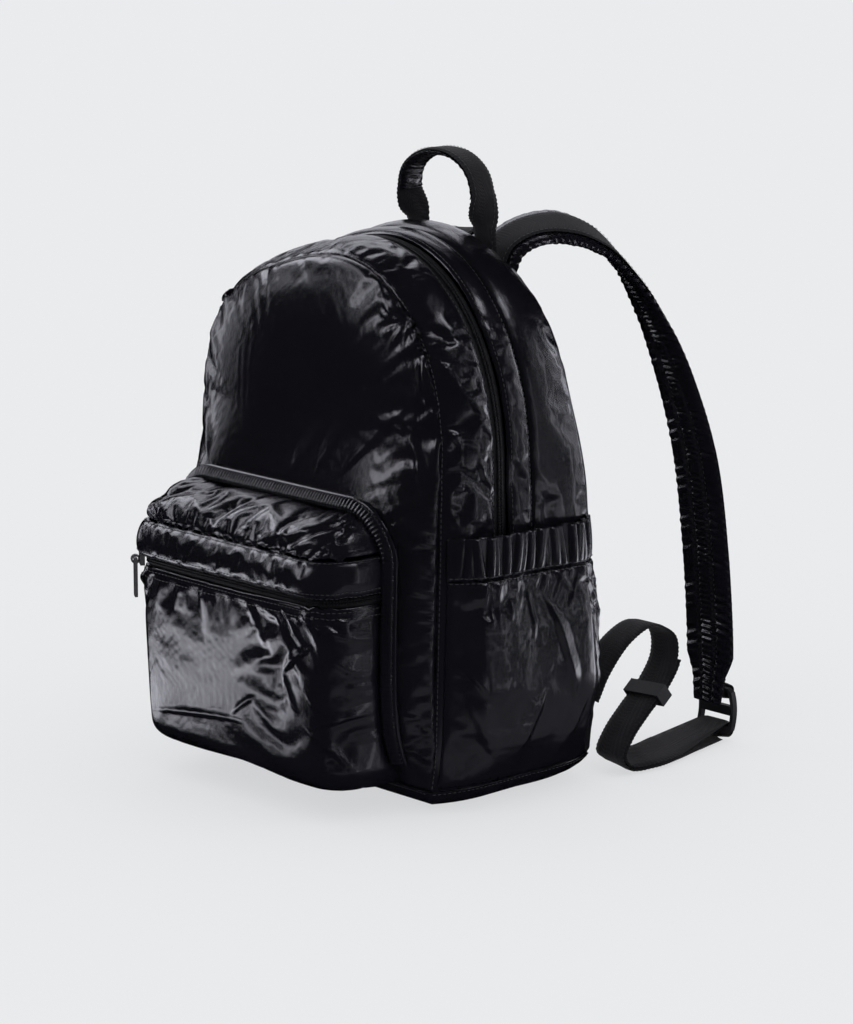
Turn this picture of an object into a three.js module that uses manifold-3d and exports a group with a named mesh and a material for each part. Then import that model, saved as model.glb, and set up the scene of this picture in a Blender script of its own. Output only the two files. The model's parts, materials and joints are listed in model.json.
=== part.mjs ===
// Mini backpack sewn from cut nylon panels, with a zipped front pocket, two gathered side pockets,
// a carry handle and two shoulder straps. Millimetres, +Z up, front towards -Y, base flat on z = 0.
import * as THREE from "three";
import Module from "manifold-3d";

const WALL = 3;
const GAP = 0.3;

// Body: arched panels joined by gussets.
const SEAM_Z = 12;
const SPRING_Z = 170;
const BODY_HEIGHT = 277;
const ARCH_POWER = 2.15;
const SIDE_SHARE = 0.26;
const CORNER_SHARE = 0.37;
const TUCK_DEPTH = 3;
const TUCK_HEIGHT = 26;
const SIDE_COLUMNS = 8;
const TOP_COLUMNS = 12;

// Seam lines of the body from front to back: depth at the floor and at the crown, half width,
// crown height, and how a line leans inwards through the thickness of the wall.
const LINES = {
  frontSeam: { yLow: -55, yTop: -47, half: 92, crown: 270, lean: 1 },
  frontBelly: { yLow: -36, yTop: -35, half: 97, crown: 275.5, lean: 0 },
  zipFront: { yLow: -16, yTop: -22, half: 97, crown: 276.5, lean: 0 },
  zipRear: { yLow: -6, yTop: -13, half: 96, crown: 276.8, lean: 0 },
  bandCrest: { yLow: 3, yTop: -5, half: 96.5, crown: 278.4, lean: 0 },
  bandSeam: { yLow: 11, yTop: 3, half: 94.5, crown: 277, lean: 0 },
  rearBelly: { yLow: 38, yTop: 21, half: 93, crown: 277.2, lean: 0 },
  backSeam: { yLow: 57, yTop: 36, half: 87, crown: 269, lean: -1 },
};
const ZIP_TRIM = 0.05;
const ZIP_RECESS = 1.4;
const ZIP_THICK = 1.5;

// Dents and puckers of the front panel beside its upper seam: place, radius and height.
const PANEL_DENTS = [
  { x: 66, z: 226, radius: 13, height: -2.2 },
  { x: 76, z: 205, radius: 11, height: 1.6 },
  { x: 50, z: 246, radius: 11, height: 1.4 },
  { x: -64, z: 230, radius: 14, height: -2 },
  { x: -76, z: 200, radius: 12, height: 1.4 },
  { x: -30, z: 252, radius: 12, height: 1.2 },
];

// Outward swell of the front and back panels at low and high levels.
const FRONT_SWELL = { low: 24, high: 14, powerLow: 8, powerHigh: 3, upright: 6, dents: PANEL_DENTS };
const BACK_SWELL = { low: 5, high: 5, powerLow: 3, powerHigh: 3, upright: 4, dents: [] };
const SWELL_FROM = 135;
const SWELL_TO = 190;

// Folds across the gussets above the side pockets: share along the arch, width, slant and height.
const FRONT_FOLDS = [
  { at: 0.275, width: 0.02, slant: -0.04, height: 1.4 },
  { at: 0.31, width: 0.02, slant: -0.05, height: -1.2 },
  { at: 0.37, width: 0.025, slant: -0.04, height: 1.4 },
  { at: 0.46, width: 0.03, slant: -0.03, height: -1.2 },
  { at: 0.56, width: 0.03, slant: 0.03, height: 1.2 },
  { at: 0.66, width: 0.025, slant: 0.04, height: -1.2 },
  { at: 0.725, width: 0.02, slant: 0.04, height: 1.4 },
];
const REAR_FOLDS = [
  { at: 0.26, width: 0.025, slant: -0.03, height: 1.2 },
  { at: 0.34, width: 0.03, slant: -0.03, height: -1.2 },
  { at: 0.45, width: 0.03, slant: -0.02, height: 1.2 },
  { at: 0.6, width: 0.03, slant: 0.03, height: -1.2 },
  { at: 0.73, width: 0.025, slant: 0.03, height: 1.2 },
];
const NO_FOLDS = [];

// Base tray: rows from the seam down to the flat bottom, and the rise of the inside over the outside.
const BASE_ROWS = [
  { z: SEAM_Z - GAP, inset: 0, lift: 0 },
  { z: 7, inset: 3, lift: 1 },
  { z: 3, inset: 8.5, lift: 2 },
  { z: 0, inset: 17, lift: WALL },
];

// Front pocket.
const POCKET = { half: 78, bottom: 13, top: 150, cornerTop: 24, cornerLow: 14, wall: 2 };
const POCKET_ROUND = { side: 24, low: 17, high: 46, power: 3 };
const POCKET_FRONT = { low: -106, high: -111, level: 115 };
const POCKET_ZIP = { low: 107.5, high: 114, recess: 2, thick: 1.5 };
const POCKET_FLAP = { low: 114, high: 131.5, swell: 2.2, hem: 0.08 };
const POCKET_COLUMNS = 20;
const COLUMN_BUNCH = 0.45;
const ROW_EASE = 1.6;
const CREASE_FROM = 60;
const CREASE_TO = 140;
const BINDING = { width: 4.5, thick: 2.4, ripple: 0.5, stations: 56 };

// Creases of the pocket's upper panel: place across, lean, width and height.
const UPPER_CREASES = [
  { x: -58, lean: 0.7, width: 9, height: 1.6 },
  { x: -34, lean: 0.7, width: 9, height: 1.4 },
  { x: -8, lean: 0.6, width: 10, height: 1.6 },
  { x: 20, lean: 0.5, width: 9, height: 1.2 },
  { x: 46, lean: 0.4, width: 9, height: 1.6 },
];

// Gathers of the pocket's lower panel: place across, lean, width and height.
const LOWER_CREASES = [
  { x: -52, lean: -0.2, width: 13, height: -1.6 },
  { x: -20, lean: 0.15, width: 14, height: -1.4 },
  { x: 14, lean: -0.1, width: 13, height: -1.8 },
  { x: 50, lean: 0.2, width: 12, height: -2 },
];

// Side pockets: belly by level, gathered elastic mouth on top.
const SIDE_POCKET = { low: 14, seam: 117, mouth: 138, inset: 2.5, wall: 1.6 };
const SIDE_STAND = { clear: 0.4, lift: 1.6, power: 4 };
const SIDE_BELLY = [
  { z: 14, belly: 3 },
  { z: 34, belly: 8 },
  { z: 62, belly: 11 },
  { z: 92, belly: 10 },
  { z: 117, belly: 6.6 },
  { z: 138, belly: 6.2 },
];
const SIDE_FOLDS = 7;
const SIDE_FOLD_HEIGHT = 1.1;
const SIDE_FOLD_FROM = 40;
const MOUTH_PLEATS = 19;
const MOUTH_PLEAT_HEIGHT = 1.2;

// Carry handle: centre line of one half of its webbing and the turn of its width from X to Y.
const HANDLE = { width: 15, thick: 1.5, stations: 38 };
const GRIP = { thick: 2.8, width: 15.6, from: 0.27, edge: 0.6 };
const HANDLE_PATH = [
  { x: 26, y: 41.2, z: 251, turn: 0 },
  { x: 26, y: 38.4, z: 265, turn: 0 },
  { x: 26, y: 36.8, z: 275, turn: 0.1 },
  { x: 27, y: 34.4, z: 284, turn: 0.7 },
  { x: 27.5, y: 33.4, z: 292, turn: 1 },
  { x: 24, y: 33, z: 301.5, turn: 1 },
  { x: 13.5, y: 33, z: 309, turn: 1 },
  { x: 0, y: 33, z: 311.4, turn: 1 },
];

// Shoulder strap: centre line, pad width and the roll of the pad towards the arm.
const STRAP = { edge: 0.5, flat: 0.7, tapeWidth: 20, tapeThick: 1, stations: 30 };
const STRAP_PATH = [
  { x: 21, y: 47, z: 250, width: 32, thick: 4.6, roll: 0 },
  { x: 22, y: 52.5, z: 262, width: 33, thick: 4.6, roll: 3 },
  { x: 25, y: 66, z: 269.5, width: 34, thick: 4.6, roll: 12 },
  { x: 30, y: 86, z: 270.5, width: 34, thick: 4.6, roll: 26 },
  { x: 36, y: 103, z: 263, width: 34, thick: 4.6, roll: 32 },
  { x: 44, y: 116, z: 247, width: 34, thick: 4.6, roll: 35 },
  { x: 53, y: 129.5, z: 219, width: 34, thick: 4.6, roll: 31 },
  { x: 60, y: 139.5, z: 187, width: 34, thick: 4.6, roll: 25 },
  { x: 66, y: 147, z: 150, width: 34, thick: 4.6, roll: 14 },
  { x: 70, y: 151, z: 104, width: 34, thick: 4.6, roll: 5 },
  { x: 73, y: 152, z: 64, width: 34, thick: 4.6, roll: 0 },
  { x: 74, y: 151.8, z: 46, width: 34, thick: 4.4, roll: 0 },
  { x: 74, y: 151, z: 34, width: 23, thick: 3, roll: 0 },
  { x: 74, y: 150.2, z: 21, width: 20, thick: 2.2, roll: 0 },
];

// How far each strap stands off the back, how high it arches and how it rolls, as shares of the path above.
const SIDES = [
  { name: "right", mirror: false, reach: 1, rise: 1, roll: 1 },
  { name: "left", mirror: true, reach: 0.5, rise: 0.6, roll: 0.2 },
];
const REACH_FROM = 62;
const RISE_FROM = 250;

// Ladder buckle: a bowed plate with a bar above and below each of its two slots.
const BUCKLE = { x: 74, behind: 8, bottom: 4.4, top: 29, half: 12.6, thick: 3 };
const BUCKLE_BOW = -2.6;
const BUCKLE_CORNER = 2;
const BUCKLE_LEVELS = 12;
const BUCKLE_SLOTS = [
  { low: 8.6, high: 14, half: 10.4 },
  { low: 19, high: 25, half: 10.4 },
];

// Adjusting webbing from the lower back seam to the buckle, and the tail that runs back above it.
const WEBBING = { width: 20, thick: 1.3, tailLift: 2.4, tailFrom: 0.36, tailTo: 0.86, stations: 40 };
const WEBBING_PATH = [
  { x: 80, y: 57.4, z: 40, roll: 0 },
  { x: 82, y: 63, z: 53, roll: 0 },
  { x: 84, y: 76, z: 68, roll: 0 },
  { x: 85, y: 92, z: 74, roll: 0 },
  { x: 86, y: 105, z: 67, roll: 0 },
  { x: 86.5, y: 106, z: 55, roll: 0 },
  { x: 87, y: 97, z: 42, roll: 0 },
  { x: 88, y: 83, z: 31, roll: 0 },
  { x: 88, y: 72, z: 20, roll: 0 },
  { x: 88, y: 67, z: 10, roll: 2 },
  { x: 88.5, y: 72, z: 4.4, roll: 8 },
  { x: 91, y: 88, z: 4.6, roll: 16 },
  { x: 87, y: 107, z: 5, roll: 18 },
  { x: 80.5, y: 129, z: 4.4, roll: 13 },
  { x: 74.5, y: 149, z: 2.3, roll: 0 },
];
const KEEPER = { at: 0.46, length: 8, wide: 23.5, deep: 8.2, rim: 1.3 };

// Pocket zip slider with a ring, the pull whose top bar turns in the ring, and the main zip's slider.
const SLIDER = { along: 8, tall: 5.6, body: 2.3, lift: 0.5, axis: 4.9 };
const SLIDER_RING = { out: 2.4, in: 1.45, wide: 2.4 };
const PULL = { long: 20, wide: 7, thick: 1.5, bar: 1.5, window: 3, windowWide: 3.6 };
const PULL_AT = { across: -0.87, z: 110.6 };
const MAIN_SLIDER = { z: 150, tall: 12, wide: 6, thick: 4 };

const COLOUR = {
  nylon: { color: 0x0d0d14, roughness: 0.28, metalness: 0 },
  webbing: { color: 0x17171f, roughness: 0.85, metalness: 0 },
  zipper: { color: 0x0b0b10, roughness: 0.6, metalness: 0 },
  plastic: { color: 0x1a1a1f, roughness: 0.5, metalness: 0 },
  metal: { color: 0x2b2b30, roughness: 0.45, metalness: 0.6 },
};

const group = new THREE.Group();
group.name = "mini_backpack";

const lerp = THREE.MathUtils.lerp;
const smoothstep = THREE.MathUtils.smoothstep;
const vec = (x, y, z) => new THREE.Vector3(x, y, z);

// Linear reading of a table by one of its columns.
function readTable(rows, key, at, column) {
  let i = 0;
  while (i < rows.length - 2 && rows[i + 1][key] < at) {
    i += 1;
  }
  const a = rows[i];
  const b = rows[i + 1];
  const share = THREE.MathUtils.clamp((at - a[key]) / (b[key] - a[key]), 0, 1);
  return lerp(a[column], b[column], share);
}

function addMesh(name, geometry, finish) {
  geometry.computeVertexNormals();
  const mesh = new THREE.Mesh(geometry, new THREE.MeshStandardMaterial(COLOUR[finish]));
  mesh.name = name;
  group.add(mesh);
}

// A closed body from points and triangles, turned so that its faces point outwards.
function closedBody(points, triangles) {
  let volume = 0;
  for (const [a, b, c] of triangles) {
    volume += points[a].dot(points[b].clone().cross(points[c]));
  }
  const index = [];
  for (const [a, b, c] of triangles) {
    index.push(a, volume > 0 ? b : c, volume > 0 ? c : b);
  }
  const geometry = new THREE.BufferGeometry();
  geometry.setAttribute("position", new THREE.Float32BufferAttribute(points.flatMap((p) => p.toArray()), 3));
  geometry.setIndex(index);
  return geometry;
}

// A wall between an outer and an inner sheet over lists of u and v values.
function wall(outer, inner, us, vs) {
  const points = [];
  for (const sheet of [outer, inner]) {
    for (const u of us) {
      for (const v of vs) {
        points.push(sheet(u, v));
      }
    }
  }
  const n = us.length;
  const m = vs.length;
  const id = (layer, i, j) => layer * n * m + i * m + j;
  const triangles = [];
  const quad = (a, b, c, d) => triangles.push([a, b, c], [a, c, d]);
  for (let i = 0; i < n - 1; i += 1) {
    for (let j = 0; j < m - 1; j += 1) {
      quad(id(0, i, j), id(0, i + 1, j), id(0, i + 1, j + 1), id(0, i, j + 1));
      quad(id(1, i, j), id(1, i, j + 1), id(1, i + 1, j + 1), id(1, i + 1, j));
    }
    quad(id(0, i, 0), id(1, i, 0), id(1, i + 1, 0), id(0, i + 1, 0));
    quad(id(0, i, m - 1), id(0, i + 1, m - 1), id(1, i + 1, m - 1), id(1, i, m - 1));
  }
  for (let j = 0; j < m - 1; j += 1) {
    quad(id(0, 0, j), id(0, 0, j + 1), id(1, 0, j + 1), id(1, 0, j));
    quad(id(0, n - 1, j), id(1, n - 1, j), id(1, n - 1, j + 1), id(0, n - 1, j + 1));
  }
  return closedBody(points, triangles);
}

// A solid through rings of equal length, closed by flat ends.
function loft(rings) {
  const n = rings[0].length;
  const points = rings.flat();
  const triangles = [];
  for (let i = 0; i < rings.length - 1; i += 1) {
    for (let j = 0; j < n; j += 1) {
      const k = (j + 1) % n;
      triangles.push([i * n + j, i * n + k, (i + 1) * n + k], [i * n + j, (i + 1) * n + k, (i + 1) * n + j]);
    }
  }
  const last = (rings.length - 1) * n;
  for (let j = 1; j < n - 1; j += 1) {
    triangles.push([0, j + 1, j], [last, last + j, last + j + 1]);
  }
  return closedBody(points, triangles);
}

const spread = (from, to, count) => Array.from({ length: count + 1 }, (_, i) => lerp(from, to, i / count));

// Mirror image across the middle plane of the bag.
function mirrored(geometry) {
  const copy = geometry.clone().applyMatrix4(new THREE.Matrix4().makeScale(-1, 1, 1));
  const index = Array.from(copy.index.array);
  for (let i = 0; i < index.length; i += 3) {
    [index[i + 1], index[i + 2]] = [index[i + 2], index[i + 1]];
  }
  copy.setIndex(index);
  return copy;
}

function addPair(name, geometry, finish) {
  addMesh(`${name}_right`, geometry, finish);
  addMesh(`${name}_left`, mirrored(geometry), finish);
}

// Body lines: a point at share s along a seam line, from the right foot over the crown to the left foot.
const tuck = (z) => TUCK_DEPTH * Math.max(0, 1 - (z - SEAM_Z) / TUCK_HEIGHT) ** 2;

function archPoint(s, half, crown) {
  if (s <= SIDE_SHARE || s >= 1 - SIDE_SHARE) {
    const share = Math.min(s, 1 - s) / SIDE_SHARE;
    const z = lerp(SEAM_Z, SPRING_Z, share);
    return { x: (s < 0.5 ? 1 : -1) * (half - tuck(z)), z };
  }
  const angle = (Math.PI * (s - SIDE_SHARE)) / (1 - 2 * SIDE_SHARE);
  const across = Math.cos(angle);
  const x = half * Math.sign(across) * Math.abs(across) ** (2 / ARCH_POWER);
  const z = SPRING_Z + (crown - SPRING_Z) * Math.sin(angle) ** (2 / ARCH_POWER);
  return { x, z };
}

function linePoint(line, s, inset, shift) {
  const { x, z } = archPoint(s, line.half - inset, line.crown - inset);
  return vec(x, lerp(line.yLow, line.yTop, z / BODY_HEIGHT) + line.lean * inset + shift, z);
}

// A strip of gusset swelling over its middle line.
function foldAt(folds, s, q) {
  let height = 0;
  for (const fold of folds) {
    const away = (s - fold.at - fold.slant * (q - 0.5)) / fold.width;
    height += fold.height * Math.exp(-away * away);
  }
  return height * 4 * q * (1 - q);
}

function stripPoint(a, b, c, s, q, inset) {
  const weights = [(1 - q) * (1 - 2 * q), 4 * q * (1 - q), q * (2 * q - 1)];
  const line = {};
  for (const key of ["yLow", "yTop", "half", "crown", "lean"]) {
    line[key] = weights[0] * a[key] + weights[1] * b[key] + weights[2] * c[key];
  }
  return linePoint(line, s, inset, 0);
}

const LINE_SHARES = [
  ...spread(0, CORNER_SHARE, SIDE_COLUMNS),
  ...spread(CORNER_SHARE, 1 - CORNER_SHARE, TOP_COLUMNS).slice(1),
  ...spread(1 - CORNER_SHARE, 1, SIDE_COLUMNS).slice(1),
];

function addStrip(name, a, b, c, folds, rows, trim, depth, thick, finish) {
  const sheet = (inset) => (s, q) => stripPoint(a, b, c, s, q, inset - foldAt(folds, s, q));
  const across = spread(trim[0], 1 - trim[1], rows);
  addMesh(name, wall(sheet(depth), sheet(depth + thick), LINE_SHARES, across), finish);
}

const middle = (a, b) => {
  const line = {};
  for (const key of ["yLow", "yTop", "half", "crown", "lean"]) {
    line[key] = (a[key] + b[key]) / 2;
  }
  return line;
};

const { frontSeam, frontBelly, zipFront, zipRear, bandCrest, bandSeam, rearBelly, backSeam } = LINES;
addStrip("gusset_front", frontSeam, frontBelly, zipFront, FRONT_FOLDS, 4, [0, 0.006], 0, WALL, "nylon");
const zipMiddle = middle(zipFront, zipRear);
const zipTrim = [ZIP_TRIM, ZIP_TRIM];
addStrip("main_zipper", zipFront, zipMiddle, zipRear, NO_FOLDS, 1, zipTrim, ZIP_RECESS, ZIP_THICK, "zipper");
addStrip("zip_band", zipRear, bandCrest, bandSeam, NO_FOLDS, 2, [0.02, 0.02], 0, WALL, "nylon");
addStrip("gusset_rear", bandSeam, rearBelly, backSeam, REAR_FOLDS, 4, [0.006, 0], 0, WALL, "nylon");

// Front and back panels: arched sheets that swell outwards from their seam.
function halfAt(line, inset, z) {
  if (z <= SPRING_Z) {
    return line.half - inset - tuck(z);
  }
  const rise = Math.min(1, (z - SPRING_Z) / (line.crown - inset - SPRING_Z));
  return (line.half - inset) * (1 - rise ** ARCH_POWER) ** (1 / ARCH_POWER);
}

function swellAt(swell, line, inset, x, z) {
  const share = smoothstep(z, SWELL_FROM, SWELL_TO);
  const across = Math.min(1, Math.abs(x) / Math.max(1, halfAt(line, inset, z)));
  const level = Math.abs((2 * (z - SEAM_Z)) / (line.crown - inset - SEAM_Z) - 1);
  const high = lerp(swell.low, swell.high, share);
  const power = lerp(swell.powerLow, swell.powerHigh, share);
  let dent = 0;
  for (const row of swell.dents) {
    dent += row.height * Math.exp(-((x - row.x) ** 2 + (z - row.z) ** 2) / row.radius ** 2);
  }
  const upright = Math.max(0, 1 - level ** swell.upright);
  return (high * (1 - across ** power) + dent * Math.min(1, 4 * (1 - across))) * upright;
}

function panelY(line, swell, inset, x, z) {
  const seamY = lerp(line.yLow, line.yTop, z / BODY_HEIGHT) + line.lean * inset;
  return seamY - line.lean * (swellAt(swell, line, inset, x, z) + GAP);
}

function panelPoint(line, swell, inset, a, b) {
  const rim = (s) => archPoint(s, line.half - inset, line.crown - inset);
  const right = rim(CORNER_SHARE * b);
  const left = rim(1 - CORNER_SHARE * b);
  const top = rim(lerp(1 - CORNER_SHARE, CORNER_SHARE, a));
  const foot = { x: lerp(rim(1).x, rim(0).x, a), z: SEAM_Z };
  const cornerLeft = rim(1 - CORNER_SHARE);
  const cornerRight = rim(CORNER_SHARE);
  const blend = (key) => {
    const ruled = lerp(foot[key], top[key], b) + lerp(left[key], right[key], a);
    const low = lerp(rim(1)[key], rim(0)[key], a);
    const high = lerp(cornerLeft[key], cornerRight[key], a);
    return ruled - lerp(low, high, b);
  };
  const x = blend("x");
  const z = blend("z");
  return vec(x, panelY(line, swell, inset, x, z), z);
}

const panels = [
  { name: "front_panel", line: frontSeam, swell: FRONT_SWELL },
  { name: "back_panel", line: backSeam, swell: BACK_SWELL },
];
for (const { name, line, swell } of panels) {
  const sheet = (inset) => (a, b) => panelPoint(line, swell, inset, a, b);
  addMesh(name, wall(sheet(0), sheet(WALL), spread(0, 1, TOP_COLUMNS), spread(0, 1, SIDE_COLUMNS)), "nylon");
}

// Base: a shallow tray under the lower edge of the body, flat underneath.
function footLoop(inset) {
  const loop = [];
  const side = (q, sign) => {
    const front = q < 0.5;
    const share = front ? q * 2 : q * 2 - 1;
    const strip = front ? [frontSeam, frontBelly, zipFront] : [bandSeam, rearBelly, backSeam];
    const p = stripPoint(...strip, 0, share, 0);
    return vec(sign * p.x, p.y, 0);
  };
  for (const q of spread(0, 1, 8)) {
    loop.push(side(q, 1));
  }
  for (const q of spread(1, 0, 8)) {
    loop.push(side(q, -1));
  }
  const deep = frontSeam.yLow;
  return loop.map((p) => vec(p.x * (1 - inset / frontSeam.half), p.y * (1 + inset / deep), 0));
}

function baseBody() {
  const ring = (inset, z) => footLoop(inset).map((p) => vec(p.x, p.y, z));
  const outside = BASE_ROWS.map((row) => ring(row.inset, row.z));
  const inside = BASE_ROWS.map((row) => ring(row.inset + WALL, row.z + row.lift)).reverse();
  return loft([...inside, ...outside]);
}
addMesh("base", baseBody(), "nylon");

// Front pocket: a pillow over a rounded outline, standing on the front panel.
function pocketHalf(inset, z) {
  const half = POCKET.half - inset;
  const top = POCKET.top - inset - POCKET.cornerTop;
  const low = POCKET.bottom + inset + POCKET.cornerLow;
  if (z > top) {
    const rise = Math.min(POCKET.cornerTop, z - top);
    return half - POCKET.cornerTop + Math.sqrt(POCKET.cornerTop ** 2 - rise ** 2);
  }
  if (z < low) {
    const drop = Math.min(POCKET.cornerLow, low - z);
    return half - POCKET.cornerLow + Math.sqrt(POCKET.cornerLow ** 2 - drop ** 2);
  }
  return half;
}

function rounded(distance, radius) {
  const share = THREE.MathUtils.clamp(1 - distance / radius, 0, 1);
  return (1 - share ** POCKET_ROUND.power) ** (1 / POCKET_ROUND.power);
}

function creased(rows, x, z, level) {
  let height = 0;
  for (const row of rows) {
    const away = (x - row.x - row.lean * (z - level)) / row.width;
    height += row.height * Math.exp(-away * away);
  }
  return height;
}

function pocketPoint(inset, across, z, lift) {
  const half = pocketHalf(inset, z);
  const x = across * half;
  const fade = rounded(half - Math.abs(x), POCKET_ROUND.side);
  const lowRise = rounded(z - POCKET.bottom - inset, POCKET_ROUND.low);
  const highRise = rounded(POCKET.top - inset - z, POCKET_ROUND.high);
  const foot = panelY(frontSeam, FRONT_SWELL, 0, x, z) - GAP;
  const front = lerp(POCKET_FRONT.low, POCKET_FRONT.high, z / POCKET_FRONT.level) + inset;
  return vec(x, lerp(foot, front - lift(x, z), fade * lowRise * highRise), z);
}

const bunched = (a) => lerp(a, Math.sin((a * Math.PI) / 2), COLUMN_BUNCH);
const pocketColumns = spread(-1, 1, POCKET_COLUMNS).map(bunched);

function addPocketSheet(name, sheet, lift, finish) {
  const outer = (a, b) => pocketPoint(sheet.inset, a, lerp(sheet.low.out, sheet.high.out, b), lift);
  const depth = sheet.inset + sheet.thick;
  const inner = (a, b) => pocketPoint(depth, a, lerp(sheet.low.in, sheet.high.in, b), lift);
  addMesh(name, wall(outer, inner, pocketColumns, sheet.rows), finish);
}

const flapLift = (x, z) => {
  const share = (z - POCKET_FLAP.low) / (POCKET_FLAP.high - POCKET_FLAP.low);
  const held = THREE.MathUtils.clamp(share, POCKET_FLAP.hem, 1 - POCKET_FLAP.hem);
  return POCKET_FLAP.swell * Math.sqrt(Math.sin(Math.PI * held));
};
const lowerFade = (z) => smoothstep(z, POCKET.bottom, CREASE_FROM);
const upperFade = (z) => smoothstep(z, POCKET_FLAP.high, CREASE_TO);
const lowerLift = (x, z) => creased(LOWER_CREASES, x, z, POCKET_ZIP.low) * lowerFade(z);
const upperLift = (x, z) => creased(UPPER_CREASES, x, z, POCKET.top) * upperFade(z);
const flat = () => 0;

const level = (z) => ({ out: z, in: z });
const bottomEdge = { out: POCKET.bottom, in: POCKET.bottom + POCKET.wall };
const topEdge = { out: POCKET.top, in: POCKET.top - POCKET.wall };
const lowRows = spread(0, 1, 8).map((b) => b ** ROW_EASE);
const highRows = spread(1, 0, 5).map((b) => 1 - b ** ROW_EASE);
const zipInset = POCKET_ZIP.recess - POCKET_ZIP.thick;
const wallOf = (low, high, rows, inset, thick) => ({ low, high, rows, inset, thick });
const lowerSheet = wallOf(bottomEdge, level(POCKET_ZIP.low - GAP), lowRows, 0, POCKET.wall);
const zipTop = level(POCKET_ZIP.high - GAP);
const zipSheet = wallOf(level(POCKET_ZIP.low), zipTop, [0, 1], zipInset, POCKET_ZIP.thick);
const flapRows = spread(0, 1, 4);
const flapSheet = wallOf(level(POCKET_FLAP.low), level(POCKET_FLAP.high - GAP), flapRows, 0, POCKET.wall);
const upperSheet = wallOf(level(POCKET_FLAP.high), topEdge, highRows, 0, POCKET.wall);
addPocketSheet("pocket_lower", lowerSheet, lowerLift, "nylon");
addPocketSheet("pocket_zipper", zipSheet, flat, "zipper");
addPocketSheet("pocket_band", flapSheet, flapLift, "nylon");
addPocketSheet("pocket_upper", upperSheet, upperLift, "nylon");

// Ruched binding: a flat rim standing round the outline of the pocket.
function bindingOutline(out) {
  const outline = new THREE.Path();
  const half = POCKET.half + out;
  const low = POCKET.bottom - out;
  const top = POCKET.top + out;
  const cornerTop = POCKET.cornerTop + out;
  const cornerLow = POCKET.cornerLow + out;
  outline.moveTo(half, POCKET.bottom + POCKET.cornerLow);
  outline.lineTo(half, top - cornerTop);
  outline.absarc(half - cornerTop, top - cornerTop, cornerTop, 0, Math.PI / 2, false);
  outline.lineTo(-half + cornerTop, top);
  outline.absarc(-half + cornerTop, top - cornerTop, cornerTop, Math.PI / 2, Math.PI, false);
  outline.lineTo(-half, low + cornerLow);
  return outline;
}

function addBinding() {
  const inside = bindingOutline(GAP).getSpacedPoints(BINDING.stations);
  const outside = bindingOutline(BINDING.width).getSpacedPoints(BINDING.stations);
  const rings = inside.map((p, i) => {
    const q = outside[i];
    const foot = (point) => panelY(frontSeam, FRONT_SWELL, 0, point.x, point.y) - 2 * GAP;
    const ripple = i % 2 === 0 ? 0 : BINDING.ripple;
    const inY = foot(p);
    const outY = Math.min(foot(q), inY + BINDING.width);
    return [
      vec(p.x, inY, p.y),
      vec(q.x, outY, q.y),
      vec(q.x, outY - BINDING.thick + ripple, q.y),
      vec(p.x, inY - BINDING.thick, p.y),
    ];
  });
  addMesh("pocket_binding", loft(rings), "nylon");
}
addBinding();

// Side pockets: pleated sheets swelling off the gussets, with a gathered elastic mouth.
function gussetHalf(y, z) {
  const rows = [frontSeam, frontBelly, zipFront, zipRear, bandSeam, rearBelly, backSeam].map((line) => ({
    y: lerp(line.yLow, line.yTop, z / BODY_HEIGHT),
    half: line.half,
  }));
  return readTable(rows, "y", y, "half") - tuck(z);
}

function sidePoint(out, share, z, ripple) {
  const front = lerp(frontSeam.yLow, frontSeam.yTop, z / BODY_HEIGHT) + SIDE_POCKET.inset;
  const back = lerp(backSeam.yLow, backSeam.yTop, z / BODY_HEIGHT) - SIDE_POCKET.inset;
  const y = lerp(front, back, share);
  const edge = 1 - Math.abs(2 * share - 1) ** SIDE_STAND.power;
  const belly = readTable(SIDE_BELLY, "z", z, "belly") + ripple(share, z);
  const seat = SIDE_STAND.clear + SIDE_STAND.lift * Math.sqrt(edge);
  return vec(gussetHalf(y, z) + seat + belly * edge + out, y, z);
}

const foldRipple = (share, z) =>
  SIDE_FOLD_HEIGHT *
  Math.cos(2 * Math.PI * SIDE_FOLDS * share) *
  smoothstep(z, SIDE_FOLD_FROM, SIDE_POCKET.seam);
const pleatRipple = (share) => MOUTH_PLEAT_HEIGHT * Math.cos(2 * Math.PI * MOUTH_PLEATS * share);

function addSidePair(name, low, high, columns, rows, ripple) {
  const sheet = (out) => (share, b) => sidePoint(out, share, lerp(low, high, b), ripple);
  addPair(name, wall(sheet(SIDE_POCKET.wall), sheet(0), spread(0, 1, columns), spread(0, 1, rows)), "nylon");
}
addSidePair("side_pocket", SIDE_POCKET.low, SIDE_POCKET.seam - GAP, SIDE_FOLDS * 4, 5, foldRipple);
addSidePair("side_band", SIDE_POCKET.seam, SIDE_POCKET.mouth, MOUTH_PLEATS * 2, 2, pleatRipple);

// Bands along a path: the cross section is set out along the width and the face direction.
function pathFrames(rows, count, widthAt) {
  const curve = new THREE.CatmullRomCurve3(rows.map((row) => vec(row.x, row.y, row.z)), false, "centripetal");
  const frames = [];
  for (const share of spread(0, 1, count)) {
    const along = curve.getTangent(share);
    const near = share * (rows.length - 1);
    const wide = widthAt(near, along);
    wide.addScaledVector(along, -wide.dot(along)).normalize();
    frames.push({ at: curve.getPoint(share), along, wide, face: along.clone().cross(wide), near });
  }
  return frames;
}

function rowValue(rows, near, key) {
  const i = Math.min(rows.length - 2, Math.floor(near));
  return lerp(rows[i][key], rows[i + 1][key], near - i);
}

const place = (frame, across, off) =>
  frame.at.clone().addScaledVector(frame.wide, across).addScaledVector(frame.face, off);

const ribbonRing = (frame, width, low, high) => [
  place(frame, -width / 2, low),
  place(frame, width / 2, low),
  place(frame, width / 2, high),
  place(frame, -width / 2, high),
];

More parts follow.
